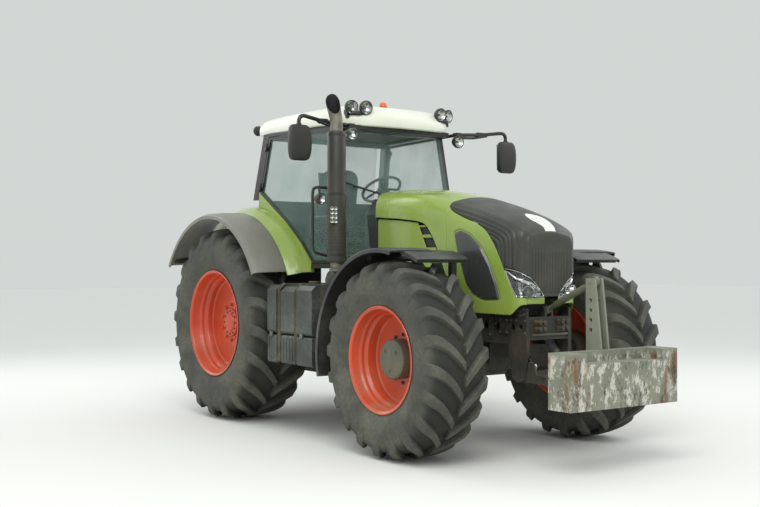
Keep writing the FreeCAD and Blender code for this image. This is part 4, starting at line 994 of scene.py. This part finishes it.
def build_headlamps():
    """Each cluster: a chrome housing set back from the cover by 0.006 + 0.085 * sin(pi v) ^ 0.16 over its height
    v, two round lamps, a bright brow and trims, and a clear cover that runs from the side round the front."""
    share = np.linspace(LAMP_BACK + 0.002, 1, 40)
    low = np.interp(share, *LAMP_SIDE.T) + 0.008
    wall = hood_grid(share, low, np.maximum(lamp_line(hood_column(share, 1)) - 0.004, low + 0.001), 20)
    cap = nose_cap(lambda y: LAMP_LOW + 0.002, lambda y: max(lamp_line(y) - 0.004, LAMP_LOW + 0.006), 26, 20,
                   0.68)[1:]
    depth = (0.006 + 0.085 * np.sin(np.pi * np.linspace(0, 1, 20)) ** 0.16)[None, :, None]
    for name, side in SIDES:
        hand = np.array([1, side, 1])
        cover = np.concatenate([wall, cap], axis=0) * hand
        back = np.concatenate([wall + inward(wall) * depth, cap - depth * np.array(AHEAD)], axis=0) * hand
        lamps = []
        for centre, aim, size in HEADLAMPS:
            centre, aim = centre * hand, aim * hand
            bowl = [(-0.02, size + 0.005), (0.010, size + 0.005), (0.013, size + 0.002), (0.010, size),
                    (-0.02, size * 0.7), (-0.032, size * 0.25), (-0.032, 0)]
            lens = [(0.009, 0), (0.008, size * 0.5), (0.003, size * 0.98)]
            lamps += [(CHROME, turned(bowl, centre, aim, 32)), (METAL, turned(BULB, centre, aim, 16)),
                      (LENS, turned(lens, centre, aim, 24))]
        brow = (cover[:, 13] - np.array([0.012, side * 0.012, 0]))[2:-4]
        thick = 0.006 + 0.014 * np.sin(np.pi * np.linspace(0, 1, len(brow))) ** 0.7
        trims = (CHROME, tube(cover[:, -1], 0.006, 8), tube(cover[:, 0], 0.005, 8), tube(brow, thick, 14))
        piece(f"lamp_cluster_{name}", [(LAMP_CHROME, grid(back)), *lamps, trims], "hood", "headlamps", angle=40,
              closed=False)
        piece(f"lamp_cover_{name}", [(LENS, grid(cover))], "hood", thick=0.003, closed=False)


build_green_hood()
build_nose()
build_headlamps()


# ---------------------------------------------------------------- side panels, seal and front frame
PANEL_TOP = [(0.005, 2.083), (0.184, 2.058), (0.332, 2.028)]
PANEL_NOSE = np.array([
    (1.590, 0.517), (1.625, 0.511), (1.755, 0.480), (1.878, 0.442), (1.942, 0.416), (2.000, 0.386)])
FINS = ((1.592, 1.612), (1.652, 1.680), (1.755, 1.795), (1.885, 1.915), (1.984, 2.002))
PANEL_BACKING = [(0.27, 1.625), (0.505, 1.600), (0.455, 1.840), (0.38, 1.990), (0.27, 2.010)]
PANEL_BRACKETS = ((0.169, 1.740), (0.394, 1.700))


def hood_spot(share, z):
    return HOOD_BACK + HOOD_LENGTH * share, z


def build_panels():
    """Fixed green panels under the hood: one plate, and fins that lean forward between dark slots. The fins run
    from back(z) to nose(z), as shares of the hood's length. Behind them are two brackets and a black backing sheet,
    painted shade that darkens the slots."""
    def back(z):
        return 0.335 + (1.990 - z) * 0.28

    def nose(z):
        return float(np.interp(z, *PANEL_NOSE.T))

    main = [hood_spot(*corner) for corner in PANEL_TOP]
    main += [hood_spot(back(z) + 0.004, z) for z in (1.995, 1.90, 1.80, 1.70, 1.610)] + [hood_spot(0.005, 1.660)]
    fins = [[hood_spot(back(low), low), hood_spot(nose(low), low), hood_spot(nose(high), high),
             hood_spot(back(high), high)] for low, high in FINS]
    backing = [hood_spot(*corner) for corner in PANEL_BACKING]
    groups = []
    for side in (1, -1):
        brackets = []
        for share, z in PANEL_BRACKETS:
            x, z = hood_spot(share, z)
            brackets.append(block(x, x + 0.04, side * 0.255, side * 0.388, z, z + 0.04))
        # Green plate and fins; behind them a black backing sheet, painted shade for the slots, and black brackets.
        groups += [(GREEN, *(plate(outline, 1, side * 0.405, side * 0.417) for outline in (main, *fins))),
                   (BLACK, plate(backing, 1, side * 0.385, side * 0.397), *brackets)]
    piece("panel_fins", groups, "chassis", "side_panels", bevel=0.003)


def build_seal():
    """A rubber cord along the hood's last section, 6 mm inside it."""
    y, z = (line[0] for line in hood_sections(np.zeros(1)))
    keep = z > 2.06
    half = np.stack([np.full(keep.sum(), HOOD_BACK - 0.002), y[keep] - 0.006, z[keep] - 0.006], -1)
    piece("hood_seal", [(BLACK, tube(np.vstack([half, half[-2::-1] * MIRROR]), 0.011, 10))], "hood")


FRAME_FACE = 0.262
# Bolt heads on the frame: x and z, and how far their seat stands out
PLATE_BOLTS = [(x, z, 0.012) for x, z in ((3.425, 1.060), (3.505, 1.060), (3.425, 1.165), (3.505, 1.165))]
STRAP_BOLTS = [(x, z, 0.016) for x, z in ((3.295, 1.03), (3.295, 1.155))]
BARE_BOLTS = [(x, z, 0) for x, z in ((3.545, 1.165), (3.61, 1.165), (3.72, 1.165), (3.72, 1.06))]
FRAME_HOLES = ((3.625, 1.222), (3.662, 1.245), (3.700, 1.262), (3.662, 1.208), (3.705, 1.215))
HOLE_RING = ((0, 0), (0, 0.015), (0.012, 0.015), (0.014, 0.011), (0.004, 0.010), (0.004, 0))
COUPLERS = ((0.105, 1.150), (0.160, 1.150), (0.105, 1.095), (0.160, 1.095))
COUPLER = ((0, 0), (0, 0.022), (0.012, 0.022), (0.012, 0.016), (0.040, 0.016), (0.044, 0.013), (0.044, 0))
COUPLER_CAP = ((0.044, 0), (0.044, 0.017), (0.052, 0.019), (0.066, 0.019), (0.070, 0.015), (0.070, 0))
CYLINDER_TOP, CYLINDER_FOOT = np.array((3.500, 1.037)), np.array((3.730, 0.775))
CYLINDER_RING = ((0, 0.035), (0, 0.041), (0.010, 0.041), (0.010, 0.035))


def build_front_frame():
    """Bolted plates, couplers, a cross pin and openings on the front frame, drawn as black cups of painted shade, and
    rings on the cylinders.
    """
    groups = []
    for side in (1, -1):
        face = side * FRAME_FACE
        out = (0, side, 0)
        groups += [
            (CAST, block(3.415, 3.515, face, face + side * 0.012, 1.045, 1.180),
             block(3.270, 3.320, face, face + side * 0.016, 1.000, 1.185),
             plate([(3.590, 1.195), (3.735, 1.195), (3.735, 1.262), (3.700, 1.285), (3.640, 1.262)], 1,
                   side * 0.235, side * 0.258)),
            (BLACK, block(3.440, 3.480, face + side * 0.012, face + side * 0.014, 1.085, 1.145)),
            (METAL, *(head for x, z, stand in (*PLATE_BOLTS, *STRAP_BOLTS, *BARE_BOLTS)
                      for head in bolts((x, face + side * stand, z), out, 0, 1, 0.010, 0.010))),
            # painted shade: black cups stand for the shade inside the frame's openings
            (BLACK, *(turned(HOLE_RING, (x, side * 0.258, z), out, 20) for x, z in FRAME_HOLES))]
        for y, z in COUPLERS:
            foot = (3.738, side * y, z)
            groups += [(BRASS, turned(COUPLER, foot, AHEAD, 24)), (BLACK, turned(COUPLER_CAP, foot, AHEAD, 24))]
    groups += [(METAL, rod((3.748, -0.205, 1.045), (3.748, 0.205, 1.045), 0.011, 16, 0.002)),
               (CAST, *(block(3.735, 3.756, side * 0.205, side * 0.218, 1.020, 1.070) for side in (1, -1)))]
    piece("frame_fittings", groups, "chassis")
    run = CYLINDER_FOOT - CYLINDER_TOP
    rings = []
    for side in (1, -1):
        for share in (0.54, 0.60):
            x, z = CYLINDER_TOP + run * share
            rings.append(turned(CYLINDER_RING, (x, side * 0.180, z), (run[0], 0, run[1]), 40, True))
    piece("cylinder_rings", [(BRASS, *rings)], "front_barrels")


def build_wiper():
    arm = tube([(1.625, -0.150, 2.318), (1.600, -0.330, 2.362), (1.572, -0.560, 2.416)], 0.009, 10)
    blade = tube([(1.570, -0.330, 2.372), (1.556, -0.520, 2.420), (1.548, -0.650, 2.452)], 0.007, 8)
    foot = turned([(0, 0), (0, 0.020), (0.030, 0.016), (0.030, 0)], (1.625, -0.150, 2.290), UP, 20)
    piece("wiper", [(BLACK, arm, blade, foot)], "chassis")


build_panels()
build_seal()
build_front_frame()
build_wiper()


# ---------------------------------------------------------------- roof, lamps and beacon
ROOF_PLAN = [(-0.060, -0.700), (0.120, -0.790), (1.350, -0.735), (1.600, -0.640), (1.720, -0.330), (1.720, 0.330),
             (1.600, 0.640), (1.350, 0.735), (0.120, 0.790), (-0.060, 0.700)]
ROOF_MIDDLE = np.array([0.83, 0.0])
# Rings of the roof: share of the plan and rise over ROOF_LOW
ROOF_ROWS = np.array([
    (0.90, 0.006), (0.955, 0.0), (0.985, 0.002), (0.996, 0.012), (1.0, 0.030), (1.002, 0.055), (1.0, 0.085),
    (0.992, 0.108), (0.985, 0.112), (0.975, 0.126), (0.955, 0.146), (0.925, 0.163), (0.885, 0.178), (0.83, 0.191),
    (0.75, 0.203), (0.62, 0.213), (0.45, 0.219), (0.25, 0.222), (0.0, 0.223)])


def build_roof():
    """Rings round the roof's plan, each scaled toward its middle: point = middle + (edge - middle) * share,
    at the height of the table. The last ring closes on the middle, and the underside ends inside the rim."""
    edge = smooth_ring(ROOF_PLAN, 4)
    share, rise = ROOF_ROWS.T
    plan = ROOF_MIDDLE + (edge - ROOF_MIDDLE)[None] * share[:, None, None]
    droop = 0.030 * soft(plan[:, :, 0], 1.1, 1.75) * (1 - soft(rise, 0.10, 0.2))[:, None]
    points = np.concatenate([plan, (ROOF_LOW + rise[:, None] - droop)[:, :, None]], -1)
    piece("roof_shell", [(ROOF, grid(points, False, True))], "chassis", "roof", closed=False, angle=25)
    brim = plate(edge * 0.90 + ROOF_MIDDLE * 0.10, 2, ROOF_LOW - 0.004, ROOF_LOW + 0.030)
    header = block(1.40, 1.452, -0.66, 0.66, ROOF_LOW - 0.055, ROOF_LOW + 0.004)
    visor = block(1.43, 1.640, -0.600, 0.600, ROOF_LOW - 0.062, ROOF_LOW - 0.020)
    piece("roof_liner", [(BLACK, brim, header, visor)], "chassis", bevel=0.004)


CASE_DEPTH = 0.075


def round_lamp(centre, aim, size):
    """A work lamp: deep rounded case, bright bowl, small reflector cap and a shallow domed lens."""
    case = [(-CASE_DEPTH, 0), (-CASE_DEPTH, size * 0.30), (-CASE_DEPTH * 0.8, size * 0.62),
            (-CASE_DEPTH * 0.35, size * 0.94), (-0.004, size), (0.010, size), (0.012, size - 0.003),
            (0.010, size - 0.007), (0.004, size - 0.007)]
    bowl = [(0.006, size - 0.006), (-0.012, size * 0.72), (-0.030, size * 0.42), (-0.036, 0.012), (-0.036, 0)]
    cap = [(-0.036, 0), (-0.034, 0.011), (-0.016, 0.012), (-0.009, 0.007), (-0.008, 0)]
    lens = [(0.013, 0), (0.012, size * 0.5), (0.007, size - 0.007)]
    return [(BLACK, turned(case, centre, aim, 40)), (CHROME, turned(bowl, centre, aim, 40)),
            (METAL, turned(cap, centre, aim, 20)), (LENS, turned(lens, centre, aim, 40))]


def build_lamps():
    """On each side two lamps on a bar at the roof's front edge, one under it, one behind, and a tail lamp."""
    for name, side in SIDES:
        groups = []
        for x, y, turn in ((1.640, 0.470, 0.15), (1.590, 0.610, 0.35)):
            groups += round_lamp((x + 0.030, side * y, 3.184), (1, side * turn, -0.08), 0.069)
            groups.append((BLACK, block(x - 0.06, x - 0.005, side * y - 0.030, side * y + 0.030, 3.08, 3.165)))
        bar = [(1.640, side * 0.470, 3.128), (1.645, side * 0.545, 3.124), (1.590, side * 0.610, 3.128)]
        groups.append((BLACK, tube(bar, 0.020, 10)))
        groups += round_lamp((1.718, side * 0.668, 2.915), (1, side * 0.12, -0.05), 0.068)
        groups.append((BLACK, tube([(1.690, side * 0.668, 2.972), (1.690, side * 0.668, 2.990)], 0.012, 12)))
        groups += round_lamp((-0.112, side * 0.690, 3.110), (-1, side * 0.10, -0.10), 0.055)
        groups.append((BLACK, tube([(-0.06, side * 0.69, 3.11), (0.02, side * 0.69, 3.115)], 0.018, 12)))
        groups += [(BLACK, block(-0.985, -0.925, side * 1.115, side * 1.295, 1.652, 1.728)),
                   (RED_LENS, block(-1.005, -0.985, side * 1.120, side * 1.205, 1.658, 1.722)),
                   (AMBER, block(-1.005, -0.985, side * 1.211, side * 1.290, 1.658, 1.722))]
        piece(f"work_lamps_{name}", groups, "chassis", "lamps" if side == 1 else (), angle=40)


BEACON = (1.30, 0, ROOF_TOP)


def build_beacon():
    base = [(0, 0), (0, 0.046), (0.010, 0.048), (0.018, 0.044), (0.020, 0)]
    dome = [(0.014, 0), (0.016, 0.041), (0.040, 0.041), (0.056, 0.036), (0.066, 0.022), (0.070, 0.008), (0.070, 0)]
    ribs = [turned([(z, 0.0405), (z + 0.001, 0.0425), (z + 0.003, 0.0425), (z + 0.004, 0.0405)], BEACON, UP, 40, True)
            for z in (0.022, 0.030, 0.038)]
    piece("beacon_lamp", [(BLACK, turned(base, BEACON, UP, 40)), (AMBER, turned(dome, BEACON, UP, 40), *ribs)],
          "chassis", "beacon", angle=40)


build_roof()
build_lamps()
build_beacon()


# ---------------------------------------------------------------- exhaust, rails and mirrors
CUT_SLOPE = 1.75
CUT_ACROSS = (0.84, -0.54)


def build_exhaust():
    """Perforated guard, clamps, feed pipe and brackets. The bare end is a wall of straight rows from the guard to
    a slash cut: its top is z = 3.165 - 1.75 * (offset toward the front right), and it leans out a little."""
    x, y = EXHAUST_X, EXHAUST_Y
    middle = (x, y, 0)
    guard = [(1.66, 0.0), (1.66, 0.082), (1.668, 0.088), (2.885, 0.088), (2.901, 0.080), (2.905, 0.060), (2.905, 0)]
    groups = [(GUARD, turned(guard, middle, UP, 64))]
    for z in (1.72, 2.30, 2.86):
        clamp = [(z, 0.087), (z, 0.0915), (z + 0.024, 0.0915), (z + 0.024, 0.087)]
        groups += [(BLACK_PAINT, turned(clamp, middle, UP, 64, True)),
                   (METAL, block(x - 0.012, x + 0.012, y + 0.088, y + 0.112, z, z + 0.024))]
    feed_pipe = bend([(x, y, 1.67), (x, y, 1.60), (x + 0.03, -0.76, 1.56), (2.10, -0.25, 1.54)], 0.07, 8)
    collar = [(1.575, 0.060), (1.575, 0.068), (1.600, 0.068), (1.600, 0.060)]
    groups += [(RUSTY, tube(feed_pipe, 0.060, 28)), (METAL, turned(collar, middle, UP, 40, True)),
               (BLACK_PAINT, block(1.64, 1.80, -0.85, -0.70, 1.64, 1.662),
                block(1.64, 1.69, -0.72, -0.64, 1.60, 1.662), block(1.66, 1.76, -0.838, -0.79, 2.285, 2.315))]
    piece("exhaust_guard", groups, "chassis", "exhaust")
    turn = np.linspace(0, TURN, 56, endpoint=False)[None, :]
    t = np.linspace(0, 1, 30)[:, None]

    def wall(radius, low):
        offset = radius * (CUT_ACROSS[0] * np.cos(turn) + CUT_ACROSS[1] * np.sin(turn))
        z = low + (3.165 - CUT_SLOPE * offset - low) * t
        lean = soft(z, 2.95, 3.25)
        wide = radius + 0.010 * lean
        return np.stack([x + wide * np.cos(turn) - 0.016 * lean, y + wide * np.sin(turn) - 0.040 * lean, z], -1)

    outer, inner = wall(0.060, 2.90), wall(0.055, 2.93)
    rim = np.stack([outer[-1], inner[-1]])
    floor = np.stack([inner[0], np.broadcast_to(inner[0].mean(axis=0), inner[0].shape)])
    piece("exhaust_end", [(RUSTY, grid(outer, False, True)),
                          (SOOT, *(grid(part, False, True) for part in (rim, inner[::-1], floor)))],
          "chassis", closed=False, angle=60)


# X and y of the square lamp's face on each side
SQUARE_LAMP = {"left": (1.650, 0.955), "right": (1.895, 1.0)}
CELL = ((0, 0.0195), (0.007, 0.0195), (0.008, 0.017), (0.003, 0.010), (0.002, 0))
RAIL_FOOT = ((0, 0), (0, 0.03), (0.008, 0.03), (0.010, 0.018), (0.010, 0))


def build_rails():
    """Grab rails bent from round bar, each with a round lamp on a hook, a square lamp of eight cells and feet."""
    for name, side in SIDES:
        hand = [1, side, 1]
        path = bend([(1.640, 0.700, 2.345), (1.625, 0.800, 2.375), (1.590, 1.005, 2.385), (1.575, 1.030, 2.360),
                     (1.575, 1.030, 1.760), (1.640, 0.800, 1.700), (1.640, 0.690, 1.690)], 0.06, 8) * hand
        hook = [(1.630, side * 0.985, 2.31), (1.618, side * 0.985, 2.382)]
        x, y = SQUARE_LAMP[name]
        cells = [turned(CELL, (x, side * (y + dy), 2.105 + dz), AHEAD, 24)
                 for dy in (-0.021, 0.021) for dz in (-0.060, -0.020, 0.020, 0.060)]
        feet = [turned(RAIL_FOOT, (1.640, side * y0, z0), (0, side, 0), 24)
                for y0, z0 in ((0.690, 2.330), (0.682, 1.690))]
        piece(f"grab_rail_{name}",
              [(BLACK_PAINT, tube(path, 0.015, 16)),
               *round_lamp((1.660, side * 0.985, 2.268), (1, side * -0.25, -0.02), 0.056),
               (BLACK, tube(hook, 0.011, 12),
                block(x - 0.040, x, side * (y - 0.043), side * (y + 0.043), 2.020, 2.190),
                block(x - 0.075, x - 0.040, side * (y - 0.02), side * (y + 0.02), 2.06, 2.15)),
               (CHROME, *cells), (METAL, *feet)],
              "chassis", "grab_rails" if side == 1 else (), angle=40)


ARM_Z = 2.988
MIRROR_Y = 1.290
CASE_Z, CASE_HALF = ARM_Z - 0.208, (0.036, 0.118, 0.168)


def build_mirrors():
    """A bent arm with a brace and clamps; the case is a cushion form, pushed forward in the middle of its height
    by 0.012 * (1 - (way from its middle / half height) ^ 2), with a mirror pane behind."""
    for name, side in SIDES:
        hand = [1, side, 1]
        path = bend([(1.405, 0.685, ARM_Z), (1.690, 0.668, ARM_Z), (1.690, 1.000, ARM_Z + 0.022),
                     (1.750, 1.250, ARM_Z + 0.052), (1.750, MIRROR_Y, ARM_Z + 0.022),
                     (1.750, MIRROR_Y, ARM_Z - 0.060)], 0.05, 8) * hand
        brace = bend([(1.690, 0.70, ARM_Z - 0.030), (1.690, 0.90, ARM_Z - 0.020), (1.712, 1.06, ARM_Z + 0.012)],
                     0.05, 6) * hand
        case = cushion((1.756, side * MIRROR_Y, CASE_Z), CASE_HALF, 0.32, 28, 56)
        case[0][:, 0] += 0.012 * (1 - ((case[0][:, 2] - CASE_Z) / CASE_HALF[2]) ** 2)
        pane = block(1.716, 1.724, side * 1.195, side * 1.385, ARM_Z - 0.345, ARM_Z - 0.070)
        socket = turned([(0, 0), (0, 0.026), (0.060, 0.026), (0.060, 0)], (1.750, side * MIRROR_Y, ARM_Z - 0.090),
                        UP, 24)
        clamps = [block(1.655, 1.725, side * 0.640, side * 0.700, ARM_Z - 0.022, ARM_Z + 0.020),
                  block(1.672, 1.708, side * 0.940, side * 1.030, ARM_Z - 0.004, ARM_Z + 0.044)]
        piece(f"mirror_{name}",
              [(BLACK_PAINT, tube(path, 0.019, 16), tube(brace, 0.013, 12)), (BLACK, case), (CHROME, pane),
               (BLACK, socket, *clamps)], "chassis", "mirrors" if side == 1 else (), angle=40)


build_exhaust()
build_rails()
build_mirrors()


# ---------------------------------------------------------------- front fenders
# Sections of the strap and of its front tongue: y and radius from the wheel's axis
FENDER_STRAP = (
    (0.842, 0.925), (0.846, 0.9255), (1.325, 0.9255), (1.330, 0.922), (1.330, 0.902), (1.336, 0.899), (1.341, 0.903),
    (1.341, 0.930), (1.334, 0.937), (1.300, 0.940), (1.270, 0.940), (1.258, 0.944), (0.930, 0.944), (0.918, 0.940),
    (0.880, 0.940), (0.848, 0.936), (0.842, 0.931))
FENDER_TONGUE = (
    (0.640, 0.932), (0.640, 0.924), (0.648, 0.9255), (1.186, 0.9255), (1.190, 0.903), (1.198, 0.903), (1.198, 0.930),
    (1.190, 0.936), (0.650, 0.936))
STRAP_ARC, TONGUE_ARC = (77, 193, 90), (64.5, 79, 16)
FENDER_BOLT_ANGLE = math.radians(109.5)


def build_front_fenders():
    """A moulded strap round the wheel with turned-down rims, a raised middle, a narrow front tongue and bolts."""
    centre = np.array((WHEELBASE, 0, FRONT_Z))
    out = np.array([math.cos(FENDER_BOLT_ANGLE), 0, math.sin(FENDER_BOLT_ANGLE)])
    for name, side in SIDES:
        hand = (side, 1)
        studs = [head for y in (0.91, 1.03)
                 for head in bolts(centre + out * 0.943 + [0, side * y, 0], out, 0.0, 1, 0.009, 0.008)]
        piece(f"fender_front_{name}",
              [(FENDER, arch(np.array(FENDER_STRAP) * hand, centre, *STRAP_ARC),
                arch(np.array(FENDER_TONGUE) * hand, centre, *TONGUE_ARC)), (METAL, *studs)],
              f"knuckle_{name}_body", f"front_fender_{name}", bevel=0.0015, angle=40)


build_front_fenders()


# ---------------------------------------------------------------- tanks
TANK_START, TANK_STOP = 1.065, 1.900
FILLER = ((0, 0), (0, 0.060), (0.018, 0.062), (0.024, 0.056), (0.024, 0))
GRIP = ((0, 0), (0, 0.016), (0.004, 0.013), (0.004, 0))
# Covers on the right: from and to as shares of the tank's length, how far out, and top
COVERS = ((0, 0.216, 1.236, 1.440), (0.281, 0.593, 1.222, 1.425), (0.665, 1, 1.236, 1.440))
RIDGES = ((0.04, 1.240), (0.09, 1.240), (0.14, 1.240), (0.33, 1.227), (0.40, 1.227), (0.47, 1.227), (0.54, 1.227))


def along(share):
    """X at a share of the tanks' length."""
    return TANK_START + (TANK_STOP - TANK_START) * share


def build_right_tank():
    """A body with moulded covers whose edges are chamfered, low ridges, bars and straps between the covers, a lid,
    a filler and latches."""
    body = [block(TANK_START + 0.01, TANK_STOP, -1.150, -0.500, 0.680, 1.440),
            block(along(0.222), along(0.88), -0.505, -0.240, 0.85, 0.95)]
    covers = []
    for a, b, y, top in COVERS:
        for low, high, out, chamfer, back in ((0.684, 0.955, 0.0, 0.012, 1.10), (0.975, top, 0.004, 0.045, 0.520)):
            outline = [(-back, low), (-(y - 0.012), low), (-(y + out), low + 0.02), (-(y + out), high - chamfer),
                       (-(y - chamfer), high), (-back, high)]
            covers.append(plate(outline, 0, along(a) + 0.004, along(b) - 0.004))
    ridges = [block(along(a), along(a) + 0.012, -y, -y + 0.01, 0.72, 0.93) for a, y in RIDGES]
    bars = [block(along(a), along(b), -1.215, -1.190, z, z + 0.022) for a, b in ((0.205, 0.292), (0.583, 0.675))
            for z in (0.78, 0.965, 1.16, 1.33)]
    straps = [tube([(along(a), -1.222, 0.70), (along(a), -1.222, 1.40), (along(a), -1.16, 1.455)], 0.010, 10)
              for a in (0.232, 0.266, 0.612, 0.646)]
    lid = block(along(0.02), along(0.98), -1.10, -0.52, 1.441, 1.452)
    latches = [block(along(a), along(a) + 0.05, -1.250, -1.236, 0.94, 0.99) for a in (0.08, 0.75)]
    piece("tank_covers",
          [(BLACK, *body), (COVER, *covers, *ridges), (BLACK, *bars, *straps), (COVER, lid),
           (BLACK, turned(FILLER, (along(0.45), -0.92, 1.452), UP, 40)), (METAL, *latches)],
          "chassis", "tank_right", bevel=0.004)


def build_left_tank():
    """Grip studs in two rows on every tread, a filler cap and upright ribs on the tank beside the ladder."""
    studs = [turned(GRIP, (x, y, z + 0.026), UP, 12) for z in (0.520, 0.800, 1.080, 1.360)
             for x in np.linspace(along(0.50), along(0.90), 7) for y in (1.15, 1.06)]
    ribs = [block(along(a), along(a) + 0.016, 1.200, 1.206, 0.74, 1.40) for a in (0.05, 0.12, 0.19, 0.26, 0.33)]
    piece("tank_treads", [(METAL, *studs), (BLACK, turned(FILLER, (along(0.2), 0.95, 1.467), UP, 40)),
                          (COVER, *ribs)], "chassis", angle=40)


build_right_tank()
build_left_tank()


# ---------------------------------------------------------------- seat
SEAT_Z = 1.900
PAD_POWER = 0.42
PIPING = 1.002


def seat_pad(centre, half, tilt, channels):
    """A crowned pad with pulled-in sides: a rounded form, narrower between its corners, with sewn channels
    pressed in along two lines and a piping round its edge."""
    verts, faces = cushion(centre, half, PAD_POWER, 36, 96)
    local = (verts - centre) / half
    pull = 1 - 0.05 * (1 - np.abs(local[:, 0]).clip(0, 1) ** 2) * np.abs(local[:, 1]) ** 3
    verts[:, 1] = centre[1] + (verts[:, 1] - centre[1]) * pull
    groove = np.max([np.exp(-((verts[:, 1] - line) / 0.007) ** 2) for line in channels], axis=0)
    verts[:, 2] -= 0.010 * groove * (local[:, 2] > 0.2)
    turn = np.linspace(0, TURN, 96)
    line = np.stack([centre[0] + half[0] * PIPING * signed_power(np.cos(turn), PAD_POWER),
                     centre[1] + half[1] * PIPING * signed_power(np.sin(turn), PAD_POWER),
                     np.full(96, centre[2] + half[2] * 0.25)], -1)
    return [(FABRIC, tilted((verts, faces), centre, tilt)), (BLACK, tilted(tube(line, 0.004, 8), centre, tilt))]


def build_seat():
    """Two pads on a shell with bellows, an armrest and a lever."""
    z = SEAT_Z
    base = seat_pad((0.720, 0, z + 0.085), (0.240, 0.245, 0.070), 3, (-0.12, 0.12))
    pad = piece("seat_base_pad", base, "chassis", "seat", angle=60)
    back = seat_pad((0.465, 0, z + 0.440), (0.330, 0.235, 0.058), -82, (-0.11, 0.11))
    pad = piece("seat_back_pad", back, "chassis", angle=60)
    folds = [(0.02 + 0.028 * i, 0.175 - 0.014 * (i % 2)) for i in range(8)]
    bellows = turned([(0, 0), (0, 0.175), *folds, (0.24, 0.175), (0.24, 0)], (0.720, 0, 1.645), UP)
    pan = block(0.500, 0.950, -0.225, 0.225, z - 0.025, z + 0.030)
    back_shell = tilted(block(0.415, 0.435, -0.210, 0.210, z + 0.06, z + 0.74), (0.42, 0, z + 0.4), -8)
    armrest = cushion((0.700, -0.360, z + 0.225), (0.190, 0.055, 0.028), 0.3, 20, 40)
    post = block(0.570, 0.620, -0.395, -0.255, z + 0.07, z + 0.200)
    lever = tube(bend([(0.84, -0.36, z + 0.24), (0.845, -0.36, z + 0.32), (0.835, -0.36, z + 0.345)], 0.02, 5),
                 0.013, 14)
    piece("seat_frame", [(BLACK, bellows, pan, back_shell, armrest, post, lever)], "chassis", bevel=0.002)


build_seat()

bpy.context.scene.view_settings.view_transform = "Standard"
